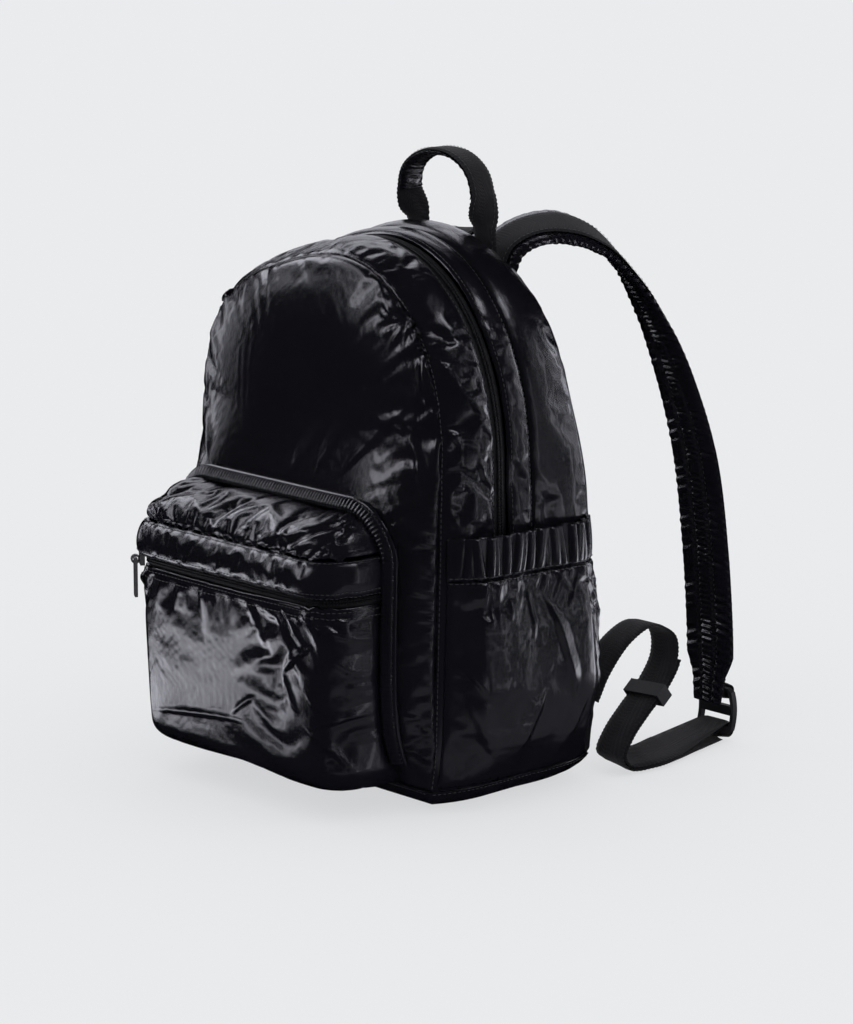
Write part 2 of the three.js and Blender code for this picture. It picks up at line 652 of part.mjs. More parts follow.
// Carry handle: webbing outside, padded grip on the inner side of the loop.
const handleRows = [
  ...HANDLE_PATH.slice(0, -1).map((row) => ({ ...row, x: -row.x })),
  ...HANDLE_PATH.slice().reverse(),
];
const handleFrames = pathFrames(handleRows, HANDLE.stations, (near) => {
  const turn = (rowValue(handleRows, near, "turn") * Math.PI) / 2;
  const side = near < (handleRows.length - 1) / 2 ? 1 : -1;
  return vec(side * Math.cos(turn), Math.sin(turn), 0);
});
const handleRings = handleFrames.map((f) => ribbonRing(f, HANDLE.width, 0, HANDLE.thick));
addMesh("handle_webbing", loft(handleRings), "webbing");

function gripRing(frame) {
  const half = GRIP.width / 2;
  return [
    place(frame, -half, -GAP),
    place(frame, half, -GAP),
    place(frame, half, -GRIP.thick * GRIP.edge),
    place(frame, half / 2, -GRIP.thick),
    place(frame, -half / 2, -GRIP.thick),
    place(frame, -half, -GRIP.thick * GRIP.edge),
  ];
}
const gripEnd = Math.round(HANDLE.stations * GRIP.from);
const gripFrames = handleFrames.slice(gripEnd, HANDLE.stations + 1 - gripEnd);
addMesh("handle_grip", loft(gripFrames.map(gripRing)), "nylon");

// Shoulder straps: a padded band with webbing along its outer face, down to a ladder buckle.
function rolled(rows) {
  return (near) => {
    const roll = THREE.MathUtils.degToRad(rowValue(rows, near, "roll"));
    return vec(Math.cos(roll), 0, -Math.sin(roll));
  };
}

function padRing(frame, width, thick) {
  const half = width / 2;
  const deep = thick / 2;
  const edge = deep * STRAP.edge;
  return [
    place(frame, -half, -edge),
    place(frame, -half * STRAP.flat, -deep),
    place(frame, half * STRAP.flat, -deep),
    place(frame, half, -edge),
    place(frame, half, edge),
    place(frame, half * STRAP.flat, deep),
    place(frame, -half * STRAP.flat, deep),
    place(frame, -half, edge),
  ];
}

// A flat ring of a band bent round a bar that runs along X; the near side faces the bar.
function bentRing(bar, angle, radius, width, thick) {
  const out = vec(0, Math.cos(angle), Math.sin(angle));
  const point = (x, r) => vec(bar.x + x, bar.y, bar.z).addScaledVector(out, r);
  const low = radius - thick / 2;
  const high = radius + thick / 2;
  return [point(-width / 2, high), point(width / 2, high), point(width / 2, low), point(-width / 2, low)];
}

const buckleMiddle = (BUCKLE.bottom + BUCKLE.top) / 2;
const bowAt = (z) => BUCKLE_BOW * ((z - buckleMiddle) / (BUCKLE.top - buckleMiddle)) ** 2;

// Radius at which a band clears a bar of the buckle.
function clearRadius(low, high, thick) {
  const slope = Math.abs(bowAt(high) - bowAt(low)) / 2;
  return Math.hypot(BUCKLE.thick / 2 + slope, (high - low) / 2) + GAP + thick / 2;
}

function buckleOutline() {
  const shape = new THREE.Shape();
  const levels = spread(BUCKLE.bottom, BUCKLE.top, BUCKLE_LEVELS);
  const halfOf = (z) => BUCKLE.half - (z === BUCKLE.bottom || z === BUCKLE.top ? BUCKLE_CORNER : 0);
  const points = [
    ...levels.map((z) => new THREE.Vector2(halfOf(z), z)),
    ...levels.slice().reverse().map((z) => new THREE.Vector2(-halfOf(z), z)),
  ];
  shape.setFromPoints(points);
  for (const slot of BUCKLE_SLOTS) {
    const hole = new THREE.Path();
    const heights = spread(slot.low, slot.high, 2);
    hole.setFromPoints([
      ...heights.map((z) => new THREE.Vector2(-slot.half, z)),
      ...heights.slice().reverse().map((z) => new THREE.Vector2(slot.half, z)),
    ]);
    shape.holes.push(hole);
  }
  return shape;
}

// A closed body from an extruded shape, each point moved by a function.
function shapedBody(geometry, move) {
  const source = geometry.attributes.position;
  const seen = new Map();
  const points = [];
  const ids = [];
  for (let i = 0; i < source.count; i += 1) {
    const p = vec(source.getX(i), source.getY(i), source.getZ(i));
    const key = p.toArray().map((n) => n.toFixed(4)).join();
    if (!seen.has(key)) {
      seen.set(key, points.length);
      points.push(move(p));
    }
    ids.push(seen.get(key));
  }
  const triangles = [];
  for (let i = 0; i < ids.length; i += 3) {
    triangles.push(ids.slice(i, i + 3));
  }
  return closedBody(points, triangles);
}

function extruded(shape, depth) {
  const geometry = new THREE.ExtrudeGeometry(shape, { depth, bevelEnabled: false, curveSegments: 6 });
  return geometry.translate(0, 0, -depth / 2);
}

function rectangle(wide, high) {
  const shape = new THREE.Shape();
  shape.setFromPoints([
    new THREE.Vector2(-wide / 2, -high / 2),
    new THREE.Vector2(wide / 2, -high / 2),
    new THREE.Vector2(wide / 2, high / 2),
    new THREE.Vector2(-wide / 2, high / 2),
  ]);
  return shape;
}

for (const side of SIDES) {
  const reached = (row) => ({ ...row, y: row.y - (1 - side.reach) * Math.max(0, row.y - REACH_FROM) });
  const risen = (row) => ({ ...row, z: row.z - (1 - side.rise) * Math.max(0, row.z - RISE_FROM) });
  const handed = (body) => (side.mirror ? mirrored(body) : body);
  const add = (name, body, finish) => addMesh(`${name}_${side.name}`, handed(body), finish);

  const turnedLess = (row) => ({ ...row, roll: row.roll * side.roll });
  const strapRows = STRAP_PATH.map(reached).map(risen).map(turnedLess);
  const strapFrames = pathFrames(strapRows, STRAP.stations, rolled(strapRows));
  const thickAt = (f) => rowValue(strapRows, f.near, "thick");
  const padRings = strapFrames.map((f) => padRing(f, rowValue(strapRows, f.near, "width"), thickAt(f)));
  add("strap_pad", loft(padRings), "nylon");

  const buckleY = strapRows[strapRows.length - 1].y + BUCKLE.behind;
  const bend = (p) => vec(BUCKLE.x + p.x, buckleY + p.z + bowAt(p.y), p.y);
  add("buckle", shapedBody(extruded(buckleOutline(), BUCKLE.thick), bend), "plastic");

  const upperBar = { x: BUCKLE.x, z: (BUCKLE_SLOTS[1].high + BUCKLE.top) / 2 };
  upperBar.y = buckleY + bowAt(upperBar.z);
  const foldRadius = clearRadius(BUCKLE_SLOTS[1].high, BUCKLE.top, STRAP.tapeThick);
  const faceLow = (f) => -(thickAt(f) / 2 + GAP);
  const tapeFrames = strapFrames.filter((f) => f.at.z > upperBar.z + foldRadius);
  const tapeRings = tapeFrames.map((f) =>
    ribbonRing(f, STRAP.tapeWidth, faceLow(f), faceLow(f) - STRAP.tapeThick));
  const foldRings = spread(Math.PI, Math.PI * 2.35, 8).map((angle) =>
    bentRing(upperBar, angle, foldRadius, STRAP.tapeWidth, STRAP.tapeThick));
  add("strap_webbing", loft([...tapeRings, ...foldRings]), "webbing");

  const webbingRows = WEBBING_PATH.map(reached);
  const webbingFrames = pathFrames(webbingRows, WEBBING.stations, rolled(webbingRows));
  const half = WEBBING.thick / 2;
  const mainRings = webbingFrames.map((f) => ribbonRing(f, WEBBING.width, half, -half));
  const lowerBar = { x: BUCKLE.x, z: (BUCKLE.bottom + BUCKLE_SLOTS[0].low) / 2 };
  lowerBar.y = buckleY + bowAt(lowerBar.z);
  const wrapRadius = clearRadius(BUCKLE.bottom, BUCKLE_SLOTS[0].low, WEBBING.thick);
  const wrapRings = spread(-Math.PI * 0.5, Math.PI * 0.6, 9).map((angle) =>
    bentRing(lowerBar, angle, wrapRadius, WEBBING.width, WEBBING.thick));
  const tailRings = webbingFrames
    .slice(Math.round(WEBBING.stations * WEBBING.tailFrom), Math.round(WEBBING.stations * WEBBING.tailTo))
    .map((f) => ribbonRing(f, WEBBING.width, -WEBBING.tailLift - half, -WEBBING.tailLift + half))
    .reverse();
  add("webbing", loft([...mainRings, ...wrapRings, ...tailRings]), "webbing");

  const hold = webbingFrames[Math.round(WEBBING.stations * KEEPER.at)];
  const ring = rectangle(KEEPER.wide, KEEPER.deep);
  ring.holes.push(rectangle(KEEPER.wide - 2 * KEEPER.rim, KEEPER.deep - 2 * KEEPER.rim));
  const centre = place(hold, 0, -WEBBING.tailLift / 2);
  const turned = new THREE.Matrix4().makeBasis(hold.wide, hold.face, hold.along.clone().negate());
  turned.setPosition(centre);
  add("keeper", shapedBody(extruded(ring, KEEPER.length), (p) => p.applyMatrix4(turned)), "plastic");
}

// Zip hardware. Shapes are joined where the slider's ring meets its body.
const manifold = await Module();
manifold.setup();

function toSolid(geometry) {
  return new manifold.Manifold(new manifold.Mesh({
    numProp: 3,
    vertProperties: new Float32Array(geometry.attributes.position.array),
    triVerts: new Uint32Array(geometry.index.array),
  }));
}

function toGeometry(solid) {
  const mesh = solid.getMesh();
  const geometry = new THREE.BufferGeometry();
  geometry.setAttribute("position", new THREE.Float32BufferAttribute(Array.from(mesh.vertProperties), 3));
  geometry.setIndex(Array.from(mesh.triVerts));
  return geometry;
}

const same = (p) => p;

// Place of the slider on the pocket's zip: outward, along the zip, upward.
const onZip = (across) => pocketPoint(zipInset, across, PULL_AT.z, flat);
const zipPoint = onZip(PULL_AT.across);
const zipAlong = onZip(PULL_AT.across - 0.02).sub(onZip(PULL_AT.across + 0.02)).normalize();
const zipUp = vec(0, 0, 1);
const zipOut = zipUp.clone().cross(zipAlong);
const zipFrame = new THREE.Matrix4().makeBasis(zipAlong, zipOut, zipUp).setPosition(zipPoint);

function sliderBody() {
  const box = new THREE.BoxGeometry(SLIDER.along, SLIDER.body, SLIDER.tall).toNonIndexed();
  box.translate(0, SLIDER.lift + SLIDER.body / 2, 0);
  const ring = new THREE.Shape();
  ring.absarc(0, 0, SLIDER_RING.out, 0, 2 * Math.PI, false);
  const hole = new THREE.Path();
  hole.absarc(0, 0, SLIDER_RING.in, 0, 2 * Math.PI, true);
  ring.holes.push(hole);
  const across = (p) => vec(p.z, SLIDER.axis + p.y, p.x);
  const bodySolid = toSolid(shapedBody(box, same));
  const ringSolid = toSolid(shapedBody(extruded(ring, SLIDER_RING.wide), across));
  return toGeometry(bodySolid.add(ringSolid)).applyMatrix4(zipFrame);
}
addMesh("pocket_zip_slider", sliderBody(), "metal");

function pullBody() {
  const half = PULL.wide / 2;
  const top = PULL.bar / 2;
  const shape = new THREE.Shape();
  shape.moveTo(half, top);
  shape.lineTo(-half, top);
  shape.lineTo(-half, top - PULL.long + 1);
  shape.lineTo(-half + 1, top - PULL.long);
  shape.lineTo(half - 1, top - PULL.long);
  shape.lineTo(half, top - PULL.long + 1);
  const window = new THREE.Path();
  window.setFromPoints([
    new THREE.Vector2(-PULL.windowWide / 2, -top),
    new THREE.Vector2(PULL.windowWide / 2, -top),
    new THREE.Vector2(PULL.windowWide / 2, -top - PULL.window),
    new THREE.Vector2(-PULL.windowWide / 2, -top - PULL.window),
  ]);
  shape.holes.push(window);
  const upright = (p) => vec(p.x, SLIDER.axis + p.z, p.y).applyMatrix4(zipFrame);
  return shapedBody(extruded(shape, PULL.thick), upright);
}
addMesh("pocket_zip_pull", pullBody(), "metal");

const mainShare = 1 - (SIDE_SHARE * (MAIN_SLIDER.z - SEAM_Z)) / (SPRING_Z - SEAM_Z);
const mainPoint = linePoint(zipMiddle, mainShare, ZIP_RECESS, 0);
const mainBox = new THREE.BoxGeometry(MAIN_SLIDER.thick, MAIN_SLIDER.wide, MAIN_SLIDER.tall).toNonIndexed();
mainBox.translate(mainPoint.x - 2 * GAP - MAIN_SLIDER.thick / 2, mainPoint.y, mainPoint.z);
addMesh("main_zip_slider", shapedBody(mainBox, same), "metal");

export default group;
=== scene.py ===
"""Mini backpack of shiny crinkled nylon: simulated cloth walls, zips, straps and soft studio light."""

import json
import math
from dataclasses import dataclass
from types import SimpleNamespace as Sizes

import bpy
import numpy as np
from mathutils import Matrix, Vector

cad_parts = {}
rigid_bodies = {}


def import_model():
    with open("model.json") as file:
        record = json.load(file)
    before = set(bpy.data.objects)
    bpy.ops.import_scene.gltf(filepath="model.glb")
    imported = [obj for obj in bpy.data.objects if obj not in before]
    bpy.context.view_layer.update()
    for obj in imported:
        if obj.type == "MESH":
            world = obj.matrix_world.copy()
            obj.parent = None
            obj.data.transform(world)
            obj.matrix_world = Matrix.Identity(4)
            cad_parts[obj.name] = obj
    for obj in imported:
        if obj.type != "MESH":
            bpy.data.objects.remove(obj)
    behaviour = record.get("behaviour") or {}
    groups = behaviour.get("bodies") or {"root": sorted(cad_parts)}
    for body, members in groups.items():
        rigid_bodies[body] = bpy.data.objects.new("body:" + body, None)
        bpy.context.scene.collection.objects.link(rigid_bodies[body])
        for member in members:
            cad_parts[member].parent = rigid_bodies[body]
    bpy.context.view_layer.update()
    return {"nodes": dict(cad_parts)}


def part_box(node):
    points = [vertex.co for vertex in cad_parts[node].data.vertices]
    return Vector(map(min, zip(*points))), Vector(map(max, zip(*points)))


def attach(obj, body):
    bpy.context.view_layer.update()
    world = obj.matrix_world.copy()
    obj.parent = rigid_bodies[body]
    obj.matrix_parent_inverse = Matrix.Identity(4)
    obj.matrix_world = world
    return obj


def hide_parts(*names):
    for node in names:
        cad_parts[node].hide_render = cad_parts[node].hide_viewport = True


for startup in list(bpy.data.objects):
    bpy.data.objects.remove(startup)
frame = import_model()

MM = 0.001
TINY = 1e-9
BAG = "bag"

# Body sizes in millimetres, as in the part. Each arched line from front to back has its depth at the foot
# and at the crown, its half width and the height of its crown.
SEAM_Z = 12.0
SPRING_Z = 170.0
BODY_HEIGHT = 277.0
ARCH_POWER = 2.15
ARCH_SAMPLES = 4001
SIDE_SHARE = 0.26
CORNER_SHARE = 0.37
TUCK_DEPTH = 3.0
TUCK_HEIGHT = 26.0
Y_LOW, Y_TOP, HALF, CROWN = range(4)
LINES = {
    "front_seam": np.array([-55.0, -47.0, 92.0, 270.0]),
    "front_belly": np.array([-36.0, -35.0, 97.0, 275.5]),
    "zip_front": np.array([-16.0, -22.0, 97.0, 276.5]),
    "zip_rear": np.array([-6.0, -13.0, 96.0, 276.8]),
    "band_crest": np.array([3.0, -5.0, 96.5, 278.4]),
    "band_seam": np.array([11.0, 3.0, 94.5, 277.0]),
    "rear_belly": np.array([38.0, 21.0, 93.0, 277.2]),
    "back_seam": np.array([57.0, 36.0, 87.0, 269.0]),
}
SIDE_LINES = ("front_seam", "front_belly", "zip_front", "zip_rear", "band_seam", "rear_belly", "back_seam")
GUSSET_FRONT = ("front_seam", "front_belly", "zip_front")
ZIP_BAND = ("zip_rear", "band_crest", "band_seam")
GUSSET_REAR = ("band_seam", "rear_belly", "back_seam")
WALL = 2.0
POCKET_WALL = 1.6
SIDE_WALL = 1.4

# Swell of the front and back panels.
SWELL_Z = (135.0, 190.0)
FRONT_SWELL = Sizes(low=24, high=14, power_low=8, power_high=3, upright=6)
BACK_SWELL = Sizes(low=5, high=5, power_low=3, power_high=3, upright=4)

# Base tray, front pocket and side pockets. A row of the base has its height and its inset.
BASE_ROWS = ((11.7, 0), (9.5, 1.2), (7, 3), (4.6, 5.6), (2.6, 9), (0.9, 13.5), (0.1, 17))
POCKET = Sizes(half=78, bottom=13, top=150, corner_top=24, corner_low=14, clear=0.6)
POCKET_ROUND = Sizes(side=24, low=17, high=46, power=3)
POCKET_FRONT = Sizes(low=-106, high=-111, level=115)
POCKET_ZIP = (107.5, 114.0)
FLAP = Sizes(low=111.4, high=131.5, swell=3.8, full=0.16)
SIDE = Sizes(low=14, seam=117, mouth=138, inset=2.5, clear=2.0, lift=1.6, power=4)
SIDE_BELLY = ((14, 3), (34, 8), (62, 11), (92, 10), (117, 6.6), (138, 6.2))

# Handle and strap routes, as in the part. The handle and the webbing have places and turns; the strap has
# places, width, thickness and roll. A side has its sign and its shares of the strap's reach, rise and roll.
HANDLE_WIDTH = 15.0
WEBBING_WIDTH = 20.0
HANDLE_PATH = (
    (26, 41.2, 251, 0), (26, 38.4, 265, 0), (26, 36.8, 275, 0.1), (27, 34.4, 284, 0.7),
    (27.5, 33.4, 292, 1), (24, 33, 301.5, 1), (13.5, 33, 309, 1), (0, 33, 311.4, 1),
)
STRAP_PATH = (
    (21, 47, 250, 32, 4.6, 0), (22, 52.5, 262, 33, 4.6, 3), (25, 66, 269.5, 34, 4.6, 12),
    (30, 86, 270.5, 34, 4.6, 26), (36, 103, 263, 34, 4.6, 32), (44, 116, 247, 34, 4.6, 35),
    (53, 129.5, 219, 34, 4.6, 31), (60, 139.5, 187, 34, 4.6, 25), (66, 147, 150, 34, 4.6, 14),
    (70, 151, 104, 34, 4.6, 5), (73, 152, 64, 34, 4.6, 0), (74, 151.8, 46, 34, 4.4, 0),
    (74, 151, 34, 23, 3, 0), (74, 150.2, 21, 20, 2.2, 0),
)
WIDTH_COLUMN, THICK_COLUMN, ROLL_COLUMN = 3, 4, 5
WEBBING_PATH = (
    (80, 57.4, 40, 0), (82, 63, 53, 0), (84, 76, 68, 0), (85, 92, 74, 0), (86, 105, 67, 0),
    (86.5, 106, 55, 0), (87, 97, 42, 0), (88, 83, 31, 0), (88, 72, 20, 0), (88, 67, 10, 2),
    (88.5, 72, 4.4, 8), (91, 88, 4.6, 16), (87, 107, 5, 18), (80.5, 129, 4.4, 13), (74.5, 149, 2.3, 0),
)
WEBBING_ROLL = 3
SIDES = {"right": (1, 1.0, 1.0, 1.0), "left": (-1, 0.5, 0.6, 0.2)}
REACH_FROM = 62.0
RISE_FROM = 250.0


def lerp(a, b, t):
    return a + (b - a) * t


def smooth(x, low, high):
    t = np.clip((x - low) / (high - low), 0, 1)
    return t * t * (3 - 2 * t)


def bell(x, middle, reach, power=2):
    return np.exp(-((x - middle) / reach) ** power)


def near(distance, reach):
    """From 1 on a seam to 0 well away from it."""
    return np.exp(-distance / reach)


def fade_in(distance, reach):
    """From 0 on a seam to 1 well away from it."""
    return 1 - near(distance, reach)


def unit(v):
    return v / np.maximum(np.linalg.norm(v, axis=-1, keepdims=True), TINY)


def run_along(path):
    """Length from the start of a path to each of its points."""
    return np.concatenate([[0], np.cumsum(np.linalg.norm(np.diff(path, axis=0), axis=1))])


def at_places(places, run, values):
    """Rows of values that belong to lengths along a path, at other lengths along it."""
    return np.stack([np.interp(places, run, column) for column in values.T], axis=-1)


# How the stuffed bag sits out of true: a full left shoulder, a sunken crown and a wide foot at the back.
LEFT_SHOULDER = Sizes(out=5.0, z=222.0, reach=42.0, x=(30.0, 80.0))
SUNK_CROWN = Sizes(drop=6.0, x=-32.0, reach=40.0, z=(225.0, 268.0), y_to=30.0, fade=45.0)
WIDE_FOOT = Sizes(out=6.5, x=(50.0, 85.0), y=(-5.0, 42.0), low=(20.0, 60.0), high=(150.0, 200.0))


def settled_form(p):
    """Points of the true form moved to how the stuffed bag sits."""
    x, y, z = np.moveaxis(p, -1, 0)
    s, c, f = LEFT_SHOULDER, SUNK_CROWN, WIDE_FOOT
    shoulder = bell(z, s.z, s.reach) * smooth(-x, *s.x)
    crown = bell(x, c.x, c.reach) * smooth(z, *c.z) * smooth(c.y_to - y, 0, c.fade)
    foot = smooth(y, *f.y) * smooth(z, *f.low) * (1 - smooth(z, *f.high))
    out = np.sign(x) * smooth(np.abs(x), *f.x) * f.out * foot
    return np.stack([x + out - s.out * shoulder, y, z - c.drop * crown], axis=-1)


# Surfaces of the bag, as points over arrays of parameters.
def tuck(z):
    return TUCK_DEPTH * np.clip(1 - (z - SEAM_Z) / TUCK_HEIGHT, 0, None) ** 2


def arch(s, half, crown):
    """Across and up at share s along an arched line, from the right foot over the crown to the left foot."""
    side = np.minimum(s, 1 - s) / SIDE_SHARE
    z_side = lerp(SEAM_Z, SPRING_Z, np.clip(side, 0, 1))
    x_side = np.where(s < 0.5, 1, -1) * (half - tuck(z_side))
    angle = np.pi * np.clip((s - SIDE_SHARE) / (1 - 2 * SIDE_SHARE), 0, 1)
    across = np.cos(angle)
    x_top = half * np.sign(across) * np.abs(across) ** (2 / ARCH_POWER)
    z_top = SPRING_Z + (crown - SPRING_Z) * np.abs(np.sin(angle)) ** (2 / ARCH_POWER)
    return np.where(side < 1, x_side, x_top), np.where(side < 1, z_side, z_top)


def even_shares(count):
    """Shares that lie evenly along the arch."""
    s = np.linspace(0, 1, ARCH_SAMPLES)
    x, z = arch(s, *LINES["zip_front"][HALF:])
    run = np.concatenate([[0], np.cumsum(np.hypot(np.diff(x), np.diff(z)))])
    return np.interp(np.linspace(0, run[-1], count), run, s)


def line_y(line, z):
    return lerp(line[Y_LOW], line[Y_TOP], z / BODY_HEIGHT)


def strip(first, middle, last, s, q, inset=0.0):
    """Point of a gusset strip that passes through three seam lines, at share s along and q across."""
    weights = ((1 - q) * (1 - 2 * q), 4 * q * (1 - q), q * (2 * q - 1))
    line = [sum(w * seam[k] for w, seam in zip(weights, (first, middle, last))) for k in range(len(first))]
    x, z = arch(s, line[HALF] - inset, line[CROWN] - inset)
    return settled_form(np.stack([x, line_y(line, z), z], axis=-1))


def gusset_strip(names, s, q):
    return strip(*(LINES[name] for name in names), s, q)


def half_at(line, z):
    rise = np.clip((z - SPRING_Z) / (line[CROWN] - SPRING_Z), 0, 1)
    arched = line[HALF] * (1 - rise ** ARCH_POWER) ** (1 / ARCH_POWER)
    return np.where(z <= SPRING_Z, line[HALF] - tuck(z), arched)


def panel_y(line, swell, out, x, z):
    """Depth of a swollen panel. out is -1 for the front and 1 for the back."""
    share = smooth(z, *SWELL_Z)
    across = np.clip(np.abs(x) / np.maximum(1, half_at(line, z)), 0, 1)
    level = np.abs(2 * (z - SEAM_Z) / (line[CROWN] - SEAM_Z) - 1)
    high = lerp(swell.low, swell.high, share)
    power = lerp(swell.power_low, swell.power_high, share)
    bulge = high * (1 - across ** power) * np.clip(1 - level ** swell.upright, 0, 1)
    return line_y(line, z) + out * bulge


def panel(line, swell, out, a, b):
    """Point of an arched panel between its foot, its two sides and its crown."""
    def rim(s):
        return np.stack(arch(s, line[HALF], line[CROWN]), axis=-1)
    a_, b_ = a[..., None], b[..., None]
    feet = rim(np.ones_like(a)), rim(np.zeros_like(a))
    tops = rim(np.full_like(a, 1 - CORNER_SHARE)), rim(np.full_like(a, CORNER_SHARE))
    sides = rim(1 - CORNER_SHARE * b), rim(CORNER_SHARE * b)
    crown = rim(lerp(1 - CORNER_SHARE, CORNER_SHARE, a))
    ruled = lerp(lerp(*feet, a_), crown, b_) + lerp(*sides, a_)
    p = ruled - lerp(lerp(*feet, a_), lerp(*tops, a_), b_)
    x, z = p[..., 0], p[..., 1]
    return settled_form(np.stack([x, panel_y(line, swell, out, x, z), z], axis=-1))


def front_face(x, z):
    return panel_y(LINES["front_seam"], FRONT_SWELL, -1, x, z)


def pocket_half(inset, z):
    high, low = POCKET.corner_top, POCKET.corner_low
    rise = np.clip(z - (POCKET.top - inset - high), 0, high)
    drop = np.clip(POCKET.bottom + inset + low - z, 0, low)
    top_cut = high - np.sqrt(high ** 2 - rise ** 2)
    low_cut = low - np.sqrt(low ** 2 - drop ** 2)
    return POCKET.half - inset - top_cut - low_cut


def rounded(distance, radius):
    share = np.clip(1 - distance / radius, 0, 1)
    return (1 - share ** POCKET_ROUND.power) ** (1 / POCKET_ROUND.power)


def pocket_point(inset, across, z):
    """Point of the pillow-shaped front pocket that stands on the front panel."""
    half = pocket_half(inset, z)
    x = across * half
    fade = rounded(half - np.abs(x), POCKET_ROUND.side)
    fade = fade * rounded(z - POCKET.bottom - inset, POCKET_ROUND.low)
    fade = fade * rounded(POCKET.top - inset - z, POCKET_ROUND.high)
    front = lerp(POCKET_FRONT.low, POCKET_FRONT.high, z / POCKET_FRONT.level) + inset
    return np.stack([x, lerp(front_face(x, z) - POCKET.clear, front, fade), z], axis=-1)


def gusset_half(y, z):
    """Half width of the bag at a depth and height, between the seam lines."""
    ys = np.stack([line_y(LINES[name], z) for name in SIDE_LINES])
    halves = [LINES[name][HALF] for name in SIDE_LINES]
    out = np.full_like(y, halves[-1])
    for k in range(len(halves) - 2, -1, -1):
        share = np.clip((y - ys[k]) / (ys[k + 1] - ys[k]), 0, 1)
        out = np.where(y <= ys[k + 1], lerp(halves[k], halves[k + 1], share), out)
    return out - tuck(z)


def side_point(share, z):
    """Point of the right side pocket, front to back by share."""
    front = line_y(LINES["front_seam"], z) + SIDE.inset
    back = line_y(LINES["back_seam"], z) - SIDE.inset
    y = lerp(front, back, share)
    edge = np.clip(1 - np.abs(2 * share - 1) ** SIDE.power, 0, 1)
    belly = np.interp(z, *zip(*SIDE_BELLY))
    x = gusset_half(y, z) + SIDE.clear + SIDE.lift * np.sqrt(edge) + belly * edge
    return settled_form(np.stack([x, y, z], axis=-1))


# Grids of points.
ON_EDGE = 0.1


def axes_grid(us, vs):
    return np.meshgrid(us, vs, indexing="ij")


def share_grid(n, m):
    return axes_grid(np.linspace(0, 1, n), np.linspace(0, 1, m))


def normals(p, flip):
    return unit(np.cross(np.gradient(p, axis=0), np.gradient(p, axis=1)) * flip)


def raised(p, flip, height):
    return p + normals(p, flip) * height[..., None]


def lengths(p):
    """Lengths along both directions of a grid, from its first row and column."""
    runs = []
    for axis in (0, 1):
        steps = np.linalg.norm(np.diff(p, axis=axis), axis=2)
        start = np.zeros_like(np.take(steps, [0], axis=axis))
        runs.append(np.cumsum(np.concatenate([start, steps], axis=axis), axis=axis))
    return runs


def edge_distance(p):
    u, v = lengths(p)
    return np.minimum(u, u[-1:] - u), np.minimum(v, v[:, -1:] - v)


def on_edge(du, dv):
    return (du < ON_EDGE) | (dv < ON_EDGE)


def refined(p):
    """Twice as fine a grid on a smooth surface through the same points."""
    for axis in (0, 1):
        q = np.moveaxis(p, axis, 0)
        wide = np.concatenate([2 * q[:1] - q[1:2], q, 2 * q[-1:] - q[-2:-1]])
        fine = np.empty((2 * len(q) - 1, *q.shape[1:]))
        fine[0::2] = q
        fine[1::2] = (9 * (wide[1:-2] + wide[2:-1]) - wide[:-3] - wide[3:]) / 16
        p = np.moveaxis(fine, 0, axis)
    return p


# Seeded unevenness. The spreads are shares of a wave's, crease's, pucker's or pleat's own sizes.
WAVE = Sizes(count=14, pitch=(0.7, 1.6), scale=3.5)
CREASE = Sizes(length=(0.5, 1.5), width=(0.6, 1.6), bow=0.35)
GATHER = Sizes(
    lean=0.45, width=(0.22, 0.42), length=(0.5, 2.0), height=(-1.4, 1.4), step=(0.4, 1.5),
)
PLEAT = Sizes(lean=0.1, width=(0.4, 0.7), height=(0.6, 1), step=(0.6, 1.4))
FAN = Sizes(
    place=2.5, lean=0.12, width=(1.6, 3.4), length=(0.4, 1.5), height=(0.2, 0.9), widen=25,
)
STEEP_SIDE = 0.4
FOLD_TAPER = (-0.1, 0.35)


def waves(u, v, size, height, seed):
    """Smooth unevenness of about the given height over lengths u and v."""
    rng = np.random.default_rng(seed)
    total = np.zeros_like(u)
    for _ in range(WAVE.count):
        turn, phase = rng.uniform(0, 2 * np.pi, 2)
        pitch = size * rng.uniform(*WAVE.pitch)
        total += np.sin((u * np.cos(turn) + v * np.sin(turn)) * 2 * np.pi / pitch + phase)
    return height * (total / WAVE.scale)


@dataclass
class Creases:
    """A family of creases: number, sizes, mean angle in degrees from the u direction and its spread."""

    count: int
    length: float
    width: float
    height: float
    angle: float = 0.0
    spread: float = 1.0
    sharp: bool = True
    mirror: bool = False


def creased(u, v, family, seed):
    """Height field of a family of creases over lengths u and v."""
    rng = np.random.default_rng(seed)
    total = np.zeros_like(u)
    for _ in range(family.count):
        at_u, at_v = rng.uniform(u.min(), u.max()), rng.uniform(v.min(), v.max())
        turn = math.radians(family.angle) + family.spread * rng.normal()
        if family.mirror and at_u > u.mean():
            turn = -turn
        long = family.length * rng.uniform(*CREASE.length)
        wide = family.width * rng.uniform(*CREASE.width)
        high = family.height * rng.normal()
        bow = rng.normal() * CREASE.bow / family.length
        du, dv = u - at_u, v - at_v
        along = du * math.cos(turn) + dv * math.sin(turn)
        across = dv * math.cos(turn) - du * math.sin(turn) + bow * along ** 2
        away = np.abs(across) / wide
        total += high * np.exp(-(along / long) ** 2) * np.exp(-away if family.sharp else -away ** 2)
    return total


def gathers(run, away, pitch, reach, height, seed):
    """Puckers that run off a seam: uneven ridges and hollows across it that die out away from it."""
    rng = np.random.default_rng(seed)
    total = np.zeros_like(run)
    at = run.min()
    while at < run.max():
        lean = rng.normal(0, GATHER.lean)
        wide = pitch * rng.uniform(*GATHER.width)
        long = reach * rng.uniform(*GATHER.length)
        high = rng.uniform(*GATHER.height)
        total += high * np.exp(-((run - at - lean * away) / wide) ** 2 - (away / long) ** 2)
        at += pitch * rng.uniform(*GATHER.step)
    return height * total


